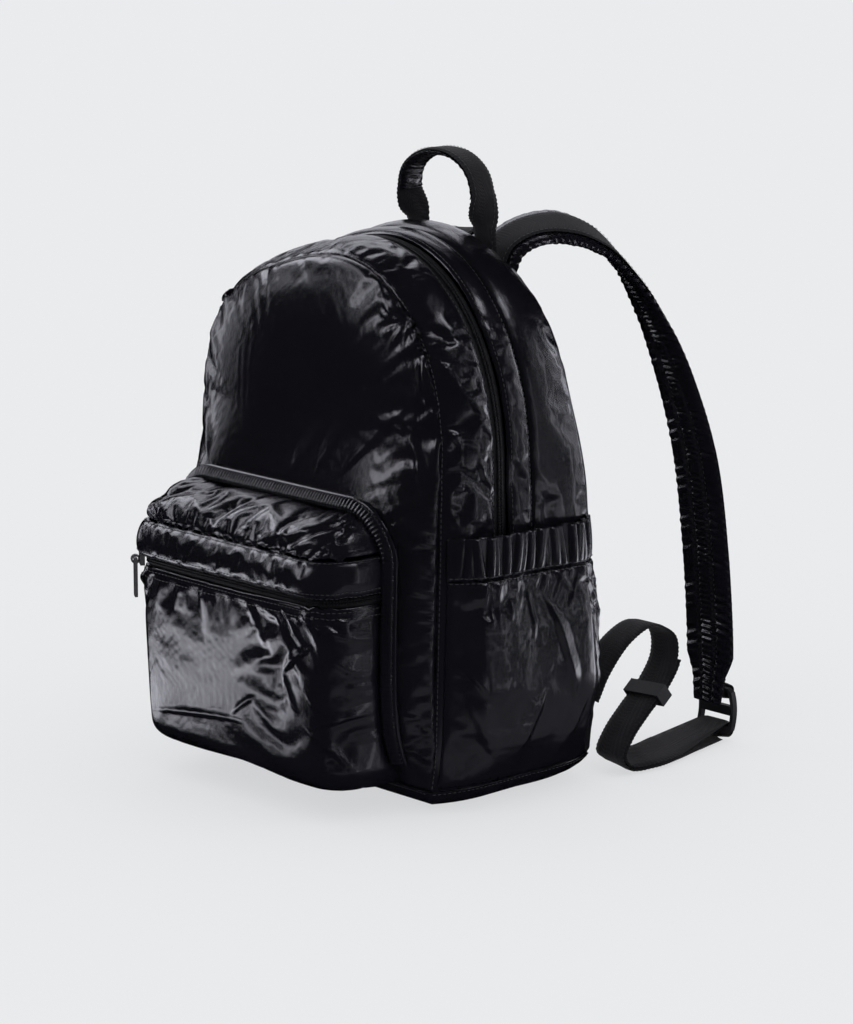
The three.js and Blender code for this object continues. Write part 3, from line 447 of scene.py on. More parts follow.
def pleats(run, rise, pitch, seed):
    """Standing pleats of uneven width across a gathered band, from 0 in the folds to 1 on the crests."""
    rng = np.random.default_rng(seed)
    total = np.zeros_like(run)
    at = 0.0
    while at < run.max():
        lean = rng.normal(0, PLEAT.lean)
        wide = pitch * rng.uniform(*PLEAT.width)
        high = rng.uniform(*PLEAT.height)
        across = (run - at - lean * rise) / wide
        total = np.maximum(total, high * np.sqrt(np.clip(1 - across ** 2, 0, None)))
        at += pitch * rng.uniform(*PLEAT.step)
    return total


def pucker_fan(u, drop, count, reach, lean, height, seed):
    """Puckers that hang from a seam and spread out to both sides as they drop from it."""
    rng = np.random.default_rng(seed)
    total = np.zeros_like(u)
    for at in np.linspace(u.min(), u.max(), count) + rng.normal(0, FAN.place, count):
        slope = lean * at / u.max() + rng.normal(0, FAN.lean)
        wide = rng.uniform(*FAN.width)
        long = reach * rng.uniform(*FAN.length)
        across = (u - at - slope * drop) / (wide * (1 + drop / FAN.widen))
        total += rng.normal(*FAN.height) * np.exp(-across ** 2 - (drop / long) ** 2)
    return height * total


def ridges(x, z, rows):
    """Height field of leaf-shaped folds, steep on one side. A row: start, end, bow, half width and height."""
    total = np.zeros_like(x)
    for x0, z0, x1, z1, bow, wide, high in rows:
        run = math.hypot(x1 - x0, z1 - z0)
        share = ((x - x0) * (x1 - x0) + (z - z0) * (z1 - z0)) / run ** 2
        across = ((z - z0) * (x1 - x0) - (x - x0) * (z1 - z0)) / run - 4 * bow * share * (1 - share)
        taper = smooth(share, *FOLD_TAPER) * smooth(1 - share, *FOLD_TAPER)
        reach = np.maximum(wide * taper, TINY) * np.where(across > 0, 1, STEEP_SIDE)
        total += high * taper * np.clip(1 - np.abs(across) / reach, 0, None)
    return total


def wandering(rng, places, length, knots, step):
    """A slow drift along a run of the given length, at places on it."""
    return np.interp(places, np.linspace(0, length, knots), np.cumsum(rng.normal(0, step, knots)))


# Cloth simulation of pinned panels.
SIM_SCALE = 10.0
SIM_FRAMES = 26
MOST_MOVE = 6.0
CLOTH_SETTINGS = {
    "quality": 5, "mass": 0.2, "air_damping": 3.0, "tension_stiffness": 12.0, "compression_stiffness": 12.0,
    "shear_stiffness": 4.0, "bending_stiffness": 0.25, "tension_damping": 6.0, "compression_damping": 6.0,
    "shear_damping": 6.0, "bending_damping": 0.6, "pin_stiffness": 1.0, "shrink_max": 0.0,
}


@dataclass
class Cloth:
    """A panel to simulate: grid, pin weights, share of slack and most slack."""

    name: str
    points: np.ndarray
    hold: np.ndarray
    slack: np.ndarray
    most: float


def vertex_group(obj, name, weights):
    group = obj.vertex_groups.new(name=name)
    for i, w in enumerate(np.round(weights.ravel(), 3)):
        group.add([i], float(w), "REPLACE")
    return name


def slack_body(c):
    """A panel as a cloth object, longer than the space between its pins where it is slack."""
    obj = add_object(c.name + "_sim", c.points * SIM_SCALE, grid_quads(*c.points.shape[:2]))
    cloth = obj.modifiers.new("Cloth", "CLOTH")
    cloth.collision_settings.use_collision = False
    for name, value in CLOTH_SETTINGS.items():
        setattr(cloth.settings, name, value)
    cloth.settings.effector_weights.gravity = 0.0
    cloth.settings.vertex_group_mass = vertex_group(obj, "hold", c.hold)
    cloth.settings.shrink_min = -c.most
    cloth.settings.vertex_group_shrink = vertex_group(obj, "firm", 1 - c.slack)
    return obj


def simulate(cloths):
    """Lets slack panels buckle between their pinned seams, in one run. Returns settled grids by name."""
    scene = bpy.context.scene
    scene.frame_set(1)
    bodies = [slack_body(c) for c in cloths]
    for f in range(1, SIM_FRAMES + 1):
        scene.frame_set(f)
    graph = bpy.context.evaluated_depsgraph_get()
    grids = {}
    for c, obj in zip(cloths, bodies):
        mesh = obj.evaluated_get(graph).data
        flat = np.empty(len(mesh.vertices) * 3, np.float32)
        mesh.vertices.foreach_get("co", flat)
        moved = flat.reshape(c.points.shape) / (MM * SIM_SCALE) - c.points
        far = np.linalg.norm(moved, axis=2, keepdims=True)
        grids[c.name] = c.points + moved * MOST_MOVE / (MOST_MOVE + far)
    for obj in bodies:
        bpy.data.objects.remove(obj)
    scene.frame_set(1)
    return grids


# Meshes.
END_SHRINK = 0.97
# A stitch: shares along it with its breadth and height there, and the ring of points over each.
STITCH_SECTIONS = ((0, 0.35, -0.25), (0.2, 1, 0.7), (0.5, 1.1, 1), (0.8, 1, 0.7), (1, 0.35, -0.25))
STITCH_RING = ((-1, 0), (-0.6, 1), (0.6, 1), (1, 0))
STITCH_FOOT = 0.35
STITCH_PROBE = 0.2


def grid_quads(n, m, start=0, turn=False):
    i, j = axes_grid(np.arange(n - 1), np.arange(m - 1))
    a = (start + i * m + j).ravel()
    quads = np.stack([a, a + m, a + m + 1, a + 1], axis=1)
    return quads[:, ::-1] if turn else quads


def add_object(name, points, quads, uv=None, material=None):
    """Mesh object of quads from points in millimetres. Faces are smooth."""
    points = np.asarray(points, float).reshape(-1, 3)
    quads = np.asarray(quads, np.int32)
    mesh = bpy.data.meshes.new(name)
    mesh.vertices.add(len(points))
    mesh.vertices.foreach_set("co", (points * MM).astype(np.float32).ravel())
    mesh.loops.add(quads.size)
    mesh.loops.foreach_set("vertex_index", quads.ravel())
    mesh.polygons.add(len(quads))
    mesh.polygons.foreach_set("loop_start", np.arange(0, quads.size, 4, dtype=np.int32))
    mesh.polygons.foreach_set("use_smooth", np.ones(len(quads), bool))
    if uv is not None:
        layer = mesh.uv_layers.new(name="cloth")
        corners = np.asarray(uv).reshape(-1, 2)[quads.ravel()]
        layer.data.foreach_set("uv", (corners * MM).astype(np.float32).ravel())
    mesh.update(calc_edges=True)
    mesh.validate()
    obj = bpy.data.objects.new(name, mesh)
    bpy.context.scene.collection.objects.link(obj)
    if material is not None:
        mesh.materials.append(material)
    return obj


def wall_mesh(p, thick, flip):
    """Points, quads and lengths of a cloth wall: the grid, a copy set inwards and the rim between them."""
    n, m = p.shape[:2]
    inner = raised(p, flip, np.full((n, m), -thick))
    points = np.concatenate([p.reshape(-1, 3), inner.reshape(-1, 3)])
    rim = np.concatenate([
        np.arange(m), np.arange(1, n) * m + m - 1,
        n * m - 2 - np.arange(m - 1), (n - 2 - np.arange(n - 2)) * m,
    ])
    after = np.roll(rim, -1)
    edge = np.stack([rim, after, after + n * m, rim + n * m], axis=1)
    turned = flip < 0
    faces = grid_quads(n, m, 0, turned), grid_quads(n, m, n * m, not turned)
    uv = np.stack(lengths(p), axis=-1).reshape(-1, 2)
    return points, np.concatenate([*faces, edge[:, ::-1] if turned else edge]), np.concatenate([uv, uv])


def tube_mesh(rings):
    """Points, quads and lengths of a closed sweep through rings of equal size, closed by small end rings."""
    first, last = (lerp(r, r.mean(axis=1, keepdims=True), END_SHRINK) for r in (rings[:1], rings[-1:]))
    rings = np.concatenate([first, rings, last])
    n, m = rings.shape[:2]
    i = np.arange(n - 1) * m
    seam = np.stack([i + m - 1, i + 2 * m - 1, i + m, i], axis=1)
    uv = np.stack(lengths(rings), axis=-1).reshape(-1, 2)
    return rings.reshape(-1, 3), np.concatenate([grid_quads(n, m), seam]), uv


def joined(parts):
    """One set of points, quads and lengths out of several."""
    start, points, quads, uvs = 0, [], [], []
    for p, q, uv in parts:
        points.append(p)
        quads.append(q + start)
        uvs.append(uv)
        start += len(p)
    return np.concatenate(points), np.concatenate(quads), np.concatenate(uvs)


def stitches(path, up, pitch=2.7, long=1.9, wide=0.42, rise=0.24):
    """Row of thread stitches along a path of points, standing on it in the direction up."""
    run = run_along(path)
    starts = np.arange(pitch / 2, run[-1] - pitch, pitch)
    rows = []
    for share, broad, high in STITCH_SECTIONS:
        place = starts + share * long
        here = at_places(place, run, path)
        ahead, behind = (at_places(place + d, run, path) for d in (STITCH_PROBE, -STITCH_PROBE))
        face = unit(at_places(place, run, up))
        cross = np.cross(unit(ahead - behind), face)
        for x, y in STITCH_RING:
            height = high * rise * lerp(STITCH_FOOT, 1, y)
            rows.append(here + cross * x * broad * wide / 2 + face * height)
    block = np.stack(rows, axis=1)
    count, per = block.shape[:2]
    one = np.roll(grid_quads(len(STITCH_SECTIONS), len(STITCH_RING), turn=True), 1, axis=1)
    quads = (one[None] + (np.arange(count) * per)[:, None, None]).reshape(-1, 4)
    return block.reshape(-1, 3), quads, np.zeros((count * per, 2))


# Materials. Each has its darkest and its palest colour.
COLOURS = {
    "nylon": ((0.0040, 0.0038, 0.0058), (0.0060, 0.0056, 0.0088)),
    "webbing": ((0.007, 0.0068, 0.0098), (0.015, 0.0145, 0.0195)),
    "thread": ((0.008, 0.008, 0.012), (0.03, 0.03, 0.038)),
    "zip": ((0.003, 0.003, 0.0045), (0.01, 0.01, 0.013)),
    "plastic": ((0.004, 0.004, 0.006), (0.014, 0.014, 0.017)),
    "metal": ((0.01, 0.01, 0.013), (0.12, 0.12, 0.13)),
}
ROUGH_SPREAD = (-0.03, 0.06)


def node(tree, kind, links=None, **values):
    made = tree.nodes.new(kind)
    for name, value in values.items():
        setattr(made, name, value)
    for socket, source in (links or {}).items():
        if isinstance(source, bpy.types.NodeSocket):
            tree.links.new(source, made.inputs[socket])
        else:
            made.inputs[socket].default_value = source
    return made


def new_material(name, **values):
    material = bpy.data.materials.new(name)
    material.use_nodes = True
    tree = material.node_tree
    shader = tree.nodes["Principled BSDF"]
    for socket, value in values.items():
        shader.inputs[socket.replace("_", " ")].default_value = value
    return material, tree, shader


def wire(tree, shader, **sources):
    for socket, source in sources.items():
        tree.links.new(source, shader.inputs[socket.replace("_", " ")])


def lengths_node(tree, scale=(1, 1)):
    """Lengths along the cloth, stretched by scale."""
    uv = node(tree, "ShaderNodeUVMap", uv_map="cloth")
    stretched = node(tree, "ShaderNodeMapping", {"Vector": uv.outputs["UV"], "Scale": (*scale, 1)})
    return stretched.outputs["Vector"]


def object_place(tree):
    return node(tree, "ShaderNodeTexCoord").outputs["Object"]


def edge_wear(tree):
    return node(tree, "ShaderNodeNewGeometry").outputs["Pointiness"]


def noise(tree, vector, scale, detail=3.0, roughness=0.55):
    sockets = {"Vector": vector, "Scale": scale, "Detail": detail, "Roughness": roughness}
    return node(tree, "ShaderNodeTexNoise", sockets).outputs["Fac"]


def spread_value(tree, fac, low, high, start=0.3, end=0.7):
    sockets = {"Value": fac, "From Min": start, "From Max": end, "To Min": low, "To Max": high}
    return node(tree, "ShaderNodeMapRange", sockets).outputs["Result"]


def spread_colour(tree, fac, low, high, start=0.3, end=0.7):
    made = node(tree, "ShaderNodeValToRGB", {"Fac": fac})
    for stop, place, colour in zip(made.color_ramp.elements, (start, end), (low, high)):
        stop.position = place
        stop.color = (*colour, 1)
    return made.outputs["Color"]


def bump(tree, height, strength, depth, under=None):
    """Bumps of a depth in millimetres on top of other bumps."""
    links = {"Height": height, "Strength": strength, "Distance": depth * MM}
    if under is not None:
        links["Normal"] = under
    return node(tree, "ShaderNodeBump", links).outputs["Normal"]


def nylon_material(name, rough, crinkle, streaks):
    """Coated nylon: blue-black, glossy, with streaks along the weave, crinkles and a tight plain weave."""
    material, tree, shader = new_material(name, IOR=1.72, Coat_Weight=0.4, Coat_Roughness=0.09)
    streak = noise(tree, lengths_node(tree, streaks), scale=1.0)
    cloud = noise(tree, object_place(tree), scale=18.0, detail=4.0)
    weave = node(tree, "ShaderNodeTexBrick", {
        "Vector": lengths_node(tree), "Scale": 1400.0, "Mortar Size": 0.06, "Mortar Smooth": 0.6,
        "Color1": (1, 1, 1, 1), "Color2": (0.8, 0.8, 0.8, 1), "Mortar": (0, 0, 0, 1),
    })
    crumple = noise(tree, object_place(tree), scale=85.0, detail=5.0, roughness=0.62)
    crinkled = bump(tree, crumple, crinkle, depth=2.2)
    streaked = bump(tree, streak, strength=0.16, depth=0.45, under=crinkled)
    woven = bump(tree, weave.outputs["Color"], strength=0.12, depth=0.1, under=streaked)
    wire(tree, shader, Base_Color=spread_colour(tree, cloud, *COLOURS["nylon"]),
         Roughness=spread_value(tree, streak, *(rough + d for d in ROUGH_SPREAD)), Normal=woven)
    return material


def webbing_material():
    """Woven tape: matte navy-black with slanted ribs and a fuzzy sheen."""
    material, tree, shader = new_material(
        "webbing", Roughness=0.82, Sheen_Weight=0.08, Sheen_Roughness=0.5, Specular_IOR_Level=0.25)
    place = lengths_node(tree)
    slanted = {"Vector": place, "Scale": 330.0, "Distortion": 1.2, "Detail": 1.0, "Detail Scale": 2.0}
    upright = {"Vector": place, "Scale": 190.0, "Distortion": 0.6}
    rib = node(tree, "ShaderNodeTexWave", slanted, bands_direction="DIAGONAL").outputs["Fac"]
    pick = node(tree, "ShaderNodeTexWave", upright, bands_direction="X").outputs["Fac"]
    cloud = noise(tree, object_place(tree), scale=140.0, detail=4.0)
    mixed = node(tree, "ShaderNodeMath", {0: rib, 1: cloud}, operation="MULTIPLY").outputs["Value"]
    colour = spread_colour(tree, mixed, *COLOURS["webbing"], start=0.1, end=0.6)
    ribbed = bump(tree, rib, strength=0.25, depth=0.4)
    wire(tree, shader, Base_Color=colour, Normal=bump(tree, pick, strength=0.3, depth=0.3, under=ribbed))
    return material


def thread_material():
    """Polyester thread: twisted and slightly shiny."""
    material, tree, shader = new_material("thread", Sheen_Weight=0.2)
    twist = noise(tree, object_place(tree), scale=900.0, detail=2.0)
    wire(tree, shader, Base_Color=spread_colour(tree, twist, *COLOURS["thread"]),
         Roughness=spread_value(tree, twist, low=0.3, high=0.5))
    return material


def zip_material():
    """Zip coil and tape: dark nylon monofilament."""
    material, tree, shader = new_material("zip")
    grain = noise(tree, object_place(tree), scale=700.0)
    wire(tree, shader, Base_Color=spread_colour(tree, grain, *COLOURS["zip"]),
         Roughness=spread_value(tree, grain, low=0.32, high=0.5),
         Normal=bump(tree, grain, strength=0.15, depth=0.2))
    return material


def plastic_material():
    """Moulded acetal with a fine satin grain and paler worn edges."""
    material, tree, shader = new_material("plastic", IOR=1.48, Specular_IOR_Level=0.3)
    grain = noise(tree, object_place(tree), scale=1500.0, detail=2.0)
    colour = spread_colour(tree, edge_wear(tree), *COLOURS["plastic"], start=0.48, end=0.62)
    wire(tree, shader, Base_Color=colour, Roughness=spread_value(tree, grain, low=0.42, high=0.56),
         Normal=bump(tree, grain, strength=0.12, depth=0.1))
    return material


def metal_material():
    """Black painted zinc with bright rubbed edges."""
    material, tree, shader = new_material("metal", Metallic=0.55)
    scuff = noise(tree, object_place(tree), scale=400.0, detail=5.0)
    colour = spread_colour(tree, edge_wear(tree), *COLOURS["metal"], start=0.49, end=0.6)
    wire(tree, shader, Base_Color=colour, Roughness=spread_value(tree, scuff, low=0.22, high=0.42))
    return material


STREAKS_ALONG, STREAKS_UPRIGHT = (40, 900), (900, 40)
NYLON = nylon_material("nylon", rough=0.12, crinkle=0.14, streaks=STREAKS_UPRIGHT)
NYLON_SMOOTH = nylon_material("nylon_smooth", rough=0.14, crinkle=0.09, streaks=STREAKS_UPRIGHT)
NYLON_ALONG = nylon_material("nylon_along", rough=0.13, crinkle=0.11, streaks=STREAKS_ALONG)
WEBBING = webbing_material()
THREAD = thread_material()
ZIP = zip_material()
PLASTIC = plastic_material()
METAL = metal_material()


def add_piece(name, parts, material, stands_for, threads=()):
    """One visible piece that stands for a CAD node, with stitches sewn on it."""
    obj = add_object(name, *joined(parts), material)
    if threads:
        sewn = add_object(name + "_thread", *joined(threads), THREAD)
        bpy.ops.object.select_all(action="DESELECT")
        sewn.select_set(True)
        obj.select_set(True)
        bpy.context.view_layer.objects.active = obj
        bpy.ops.object.join()
    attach(obj, BAG)
    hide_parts(stands_for)


STITCH_LIFT = 0.1


def sewn_rows(p, flip, rows, **sizes):
    """Rows of stitches along rows of a grid."""
    n = normals(p, flip)
    return [stitches(p[:, k] + n[:, k] * STITCH_LIFT, n[:, k], **sizes) for k in rows]


# Panels of the body before they are simulated. Creases and gathers have their heights, pitches and reaches.
FRONT_CLOTH = Sizes(
    grid=(77, 85), covered=6.0, gather=0.3, pitch=7.0, reach=6.0, even_left=(-70, 20),
    fan_in=8.0, fan_reach=10.0, fan_z=(SPRING_Z - 10, SPRING_Z + 20), seam=3.0, loose=14.0,
    hold=0.02, firm=0.3, slack_left=0.2, slack_x=(-60, 10), most=0.07, seed=11,
)
# Puckers that radiate from the arched seam of the front panel: angle, half width in degrees and height.
SHOULDER_PUCKERS = (
    (63, 3.0, -0.6), (118, 3.0, 0.5), (131, 2.2, -0.7), (138, 1.8, 0.8),
    (144, 1.7, -0.8), (151, 2.0, 0.8), (158, 2.0, -0.6),
)
CALM_CROWN = Sizes(share=0.85, x=-2.0, reach=48.0, power=4, z=(222.0, 255.0))
GUSSET_CLOTH = Sizes(
    columns=281, covered=16.0, left=0.15, right_to=(0.6, 0.2), crown=(0.09, 0.17),
    pitch=(6.5, 7.0), reach=4.0, rear_share=0.7, wave=0.25, wave_size=60, seam=2.5,
    hold=0.012, slack=(1.5, 6.0),
)
# Gussets: seam lines, rows of points, seed, creases, most slack, height of gathers and share of both that is
# left on the crown.
GUSSETS = {
    "gusset_front": (GUSSET_FRONT, 19, 21, Creases(44, 17, 2.6, 0.9, -25, 0.3, True, True), 0.018, 0.45, 0.5),
    "zip_band": (ZIP_BAND, 9, 31, Creases(14, 40, 3, 0.35, 0, 0.1, False), 0.006, 0.12, 0.2),
    "gusset_rear": (GUSSET_REAR, 15, 41, Creases(26, 34, 5, 0.8, -6, 0.12, False, True), 0.004, 0.1, 0.2),
}
POCKET_CLOTH = Sizes(columns=81, crowded=0.45, seam=2.5, hold=0.015)
LOWER_SLACK = Sizes(right=(0, 40), top_share=0.5, top=(88, 98), seam=104, fade=6)
SIDE_CLOTH = Sizes(grid=(57, 49), seam=3.0, hold=0.015, loose=40.0, most=0.015)


def crown_puckering(p):
    """Share of puckers left on the front panel, small under the middle of its crown."""
    c = CALM_CROWN
    middle = bell(p[..., 0], c.x, c.reach, c.power)
    return 1 - c.share * middle * smooth(p[..., 2], *c.z)


def front_panel_cloth():
    c = FRONT_CLOTH
    p = panel(LINES["front_seam"], FRONT_SWELL, -1, *share_grid(*c.grid))
    x, z = p[..., 0], p[..., 2]
    u, v = lengths(p)
    du, dv = edge_distance(p)
    top = v[:, -1:] - v
    seam = np.minimum(du, top)
    covered = (z < POCKET.top - c.covered) & (np.abs(x) < POCKET.half - c.covered)
    ripple = gathers(np.where(top < du, u, v), seam, c.pitch, c.reach, c.gather, c.seed)
    angle = np.degrees(np.arctan2(z - SPRING_Z, x))
    fan = sum(high * bell(angle, at, wide) for at, wide, high in SHOULDER_PUCKERS)
    fan = fan * bell(seam, c.fan_in, c.fan_reach) * smooth(z, *c.fan_z)
    ripple = ripple * smooth(x, *c.even_left) + fan
    ripple = ripple * fade_in(seam, c.seam) * ~covered * crown_puckering(p)
    loose = near(seam, c.loose)
    hold = np.where(on_edge(du, dv) | covered, 1, c.firm * (1 - loose) + c.hold)
    slack = np.where(covered, 0, loose) * lerp(c.slack_left, 1, smooth(x, *c.slack_x))
    return Cloth("front_panel", raised(p, 1, ripple), hold, slack * crown_puckering(p), c.most)


def gusset_cloth(name, lines, rows, seed, folds, most, gather, crown):
    """A gusset strip. Its gathers are strong on the right, and creases fade to the share crown at the top."""
    c = GUSSET_CLOTH
    s, q = axes_grid(even_shares(c.columns), np.linspace(0, 1, rows))
    p = gusset_strip(lines, s, q)
    du, dv = edge_distance(p)
    u, v = lengths(p)
    covered = p[..., 2] < SIDE.mouth - c.covered
    from_right, fade = c.right_to
    right = lerp(c.left, 1, smooth(from_right - s, 0, fade))
    calm = lerp(crown, 1, smooth(np.abs(s - 0.5), *c.crown))
    front_pitch, rear_pitch = c.pitch
    puckers = gathers(u, v, front_pitch, c.reach, height=1, seed=seed)
    puckers = puckers + gathers(u, v[:, -1:] - v, rear_pitch, c.reach, c.rear_share, seed + 1)
    ripple = (gather * right * puckers + creased(u, v, folds, seed + 2)) * calm
    ripple = ripple + waves(u, v, c.wave_size, c.wave, seed + 3)
    ripple = ripple * fade_in(dv, c.seam) * ~covered
    hold = np.where(on_edge(du, dv) | covered, 1, c.hold)
    slack = np.where(covered, 0, smooth(dv, *c.slack) * calm)
    return Cloth(name, raised(p, -1, ripple), hold, slack, most)


def centred_lengths(p):
    """Lengths over a grid, counted across from its middle."""
    u, v = lengths(p)
    return u - u[-1:] / 2, v


def pocket_cloth(name, low, high, rows, ripple, slack_in, most, seed):
    """A part of the front pocket between two heights, with closer columns at its sides."""
    c = POCKET_CLOTH
    even = np.linspace(-1, 1, c.columns)
    columns = np.sin(even * np.pi / 2) * c.crowded + even * (1 - c.crowded)
    p = pocket_point(0, *axes_grid(columns, np.linspace(low, high, rows)))
    du, dv = edge_distance(p)
    bumps = ripple(p, seed) * fade_in(np.minimum(du, dv), c.seam)
    hold = np.where(on_edge(du, dv), 1, c.hold)
    return Cloth(name, raised(p, 1, bumps), hold, slack_in(p), most)


def pocket_lower_ripple(p, seed):
    """Puckers under the zip, folds on the right and soft waves along the foot."""
    u, v = centred_lengths(p)
    top = v[:, -1:] - v
    puckers = pucker_fan(u, top, count=40, reach=16.0, lean=1.5, height=1.2, seed=seed)
    puckers = puckers * smooth(top, low=2, high=8)
    folds = creased(u, v, Creases(16, 20, 3.0, 0.8, -25, 0.6), seed + 1) * smooth(u, low=5, high=45)
    foot = creased(u, v, Creases(10, 30, 4, 0.7, 0, 0.25, False), seed + 2) * near(v, reach=22)
    return puckers + folds + foot + waves(u, v, size=70, height=0.15, seed=seed + 3)


def pocket_upper_ripple(p, seed):
    """Slanted folds between gathered seams."""
    u, v = centred_lengths(p)
    folds = creased(u, v, Creases(26, 24, 3.2, 1.3, 36, 0.2, False), seed)
    low = gathers(u, v, pitch=4.5, reach=6.0, height=0.5, seed=seed + 1)
    return folds + low + gathers(u, v[:, -1:] - v, pitch=6.0, reach=4.0, height=0.3, seed=seed + 2)


def pocket_band_ripple(p, seed):
    """The flap's puff, full near its lower edge, with small gathers at both seams."""
    u, v = centred_lengths(p)
    share = (p[..., 2] - FLAP.low) / (FLAP.high - FLAP.low)
    rolled_back = np.clip((share - FLAP.full) / (1 - FLAP.full), 0, 1)
    puff = FLAP.swell * np.sqrt(np.clip(share / FLAP.full, 0, 1) * np.clip(1 - rolled_back ** 2, 0, 1))
    low = gathers(u, v, pitch=5.0, reach=3.0, height=0.2, seed=seed)
    return puff + low + gathers(u, v[:, -1:] - v, pitch=8.0, reach=5.0, height=0.3, seed=seed + 1)


def pocket_lower_slack(p):
    """Slack on the right and under the zip, and none at the zip's seam."""
    c = LOWER_SLACK
    x, z = p[..., 0], p[..., 2]
    loose = np.maximum(smooth(x, *c.right), c.top_share * smooth(z, *c.top))
    return loose * smooth(c.seam - z, 0, c.fade)


def full_slack(p):
    return np.ones(p.shape[:2])


def side_cloth():
    c = SIDE_CLOTH
    columns, rows = c.grid
    p = side_point(*axes_grid(np.linspace(0, 1, columns), np.linspace(SIDE.low, SIDE.seam, rows)))
    u, v = lengths(p)
    du, dv = edge_distance(p)
    top = v[:, -1:] - v
    tucks = gathers(u, top, pitch=4.5, reach=10.0, height=0.8, seed=71)
    folds = creased(u, v, Creases(8, 30, 3.0, 0.7, 90, 0.25), seed=72) * near(top, reach=45)
    low = creased(u, v, Creases(10, 26, 6, 1.0, 60, 0.7, False), seed=73)
    bumps = (tucks + folds + low) * fade_in(np.minimum(du, dv), c.seam)
    hold = np.where(on_edge(du, dv), 1, c.hold)
    return Cloth("side_pocket", raised(p, 1, bumps), hold, near(top, c.loose), c.most)


settled = simulate([
    front_panel_cloth(),
    *(gusset_cloth(name, *row) for name, row in GUSSETS.items()),
    pocket_cloth("pocket_lower", POCKET.bottom, POCKET_ZIP[0], 47, pocket_lower_ripple,
                 pocket_lower_slack, most=0.03, seed=51),
    pocket_cloth("pocket_band", FLAP.low, FLAP.high, 13, pocket_band_ripple,
                 full_slack, most=0.006, seed=55),
    pocket_cloth("pocket_upper", FLAP.high, POCKET.top, 21, pocket_upper_ripple,
                 full_slack, most=0.04, seed=61),
    side_cloth(),
])


# Single folds that catch the light: start, end, bow, half width, height. Places are across or along and up.
PANEL_FOLDS = (
    (66, 241.5, 52, 248.5, 1.5, 2.4, 0.9), (66, 241, 50, 244.5, 1, 2.4, 0.9),
    (66, 240.3, 50.5, 238.5, -1, 2.4, 0.9), (66.5, 239.5, 55, 232, -1.5, 2.4, 0.9),
    (67, 239, 60.5, 226.5, -1.5, 2.4, 0.9), (68, 238.5, 67, 227.5, -1, 2.2, 0.8),
    (20, 158, 54, 211, 3, 9, 1.2), (36, 160, 73, 199, 2, 8, 1.1), (0, 158, 26, 192, 0, 8, 0.9),
    (-90, 180, -66, 156, 2, 6, 1.2), (77, 225, 84, 196, 1, 4, 1.1), (75, 186, 86, 160, 1.5, 4, 1.3),
    (86, 170, 91, 168, 0, 2.2, 0.9), (80, 150, 91, 130, 1, 4, 1.4), (82, 120, 90, 104, 1, 4, 1.3),
    (80, 96, 91, 78, -1, 4, 1.4), (82, 60, 90, 38, 1, 5, 1.2), (81, 34, 90, 26, 1, 3, 1.2),
)
GUSSET_FOLDS = (
    (19, 194, 35, 172, 2.5, 4.5, 1.9), (19, 178, 36, 155, -2.5, 4.5, 1.9), (28, 225, 36, 216, 1, 2.6, 1.1),
    (27, 215, 36, 206, 1, 2.6, 1.1), (26, 206, 36, 197, 1, 2.6, 1.0), (1, 190, 11, 179, 2, 2.8, 1.3),
    (11, 179, 2, 172, 1.5, 2.6, 1.1), (5, 163, 13, 161, 0.6, 2.2, 1.0), (13, 144, 24, 146, 0.8, 2.2, 0.9),
    (32, 156, 36, 141, -1, 2.8, 1.2), (2, 152, 9, 143, 1, 2.6, 1.1), (4, 222, 13, 210, 1, 3, 1.1),
)
POCKET_FOLDS = (
    (54, 109, 89, 92, -2, 4.5, 2.2), (66, 49, 97, 54, 2, 4, 1.9), (58, 49, 86, 22, 3, 4, 2.0),
    (42, 72, 65, 88, 1, 4, 1.5), (42, 73, 56, 54, -2, 4, 1.5), (83, 63, 96, 75, 1, 4, 1.7),
    (84, 43, 100, 40, 1.5, 3.5, 1.5), (70, 84, 92, 66, 3, 6, 1.6), (-66, 33, 15, 42, 1, 3, 0.9),
    (0, 42, 22, 57, 1, 2.6, 0.8), (60, 66, 80, 52, -2, 5, 1.4),
)
SIDE_FOLDS = (
    (-42, 113, -33, 114, -5, 2.4, 1.1), (-41, 107, -30, 110, -13, 2.6, 1.3),
    (-28, 110, -20, 112, -14, 2.6, 1.3), (-7, 112, -5, 83, 0, 2.6, 1.3), (3, 106, 22, 48, 2, 6, 2.2),
    (28, 113, 40, 83, 4, 4, 1.7), (45, 113, 41, 64, -3, 4, 1.7), (36, 84, 46, 40, 0, 4.5, 1.3),
    (-49, 81, -35, 60, 1, 4, 1.6), (-44, 62, -28, 28, 0, 9, 1.6), (-14, 26, 3, 60, 0, 9, 1.6),
    (14, 18, 31, 50, 0, 8, 1.4),
)
FINE = Creases(150, 7, 1.2, 0.22, 0, 2.0)
FINE_DENSE = Creases(260, 6, 1.1, 0.24, 0, 2.0)
FINISH = Sizes(seam=2.0, least=0.3, reach=9.0, fold_seam=2.5, dip=1.1, dip_width=1.8)


def seam_dip(distance):
    """How far cloth rolls in towards a seam."""
    return -FINISH.dip * bell(distance, 0, FINISH.dip_width)


def finished(name, flip, families=(), seed=0, mask=None, folds=None, all_round=True):
    """A settled grid made finer, rolled in at its seams and given its small creases and single folds."""
    p = refined(settled[name])
    u, v = lengths(p)
    du, dv = edge_distance(p)
    fine = sum(creased(u, v, family, seed + k) for k, family in enumerate(families))
    if mask is not None:
        fine = fine * mask(p)
    away = np.minimum(du, dv) if all_round else dv
    fine = fine * fade_in(away, FINISH.seam) * (FINISH.least + near(away, FINISH.reach))
    if folds is not None:
        fine = fine + folds(p) * fade_in(away, FINISH.fold_seam)
    return raised(p, flip, fine + seam_dip(away))


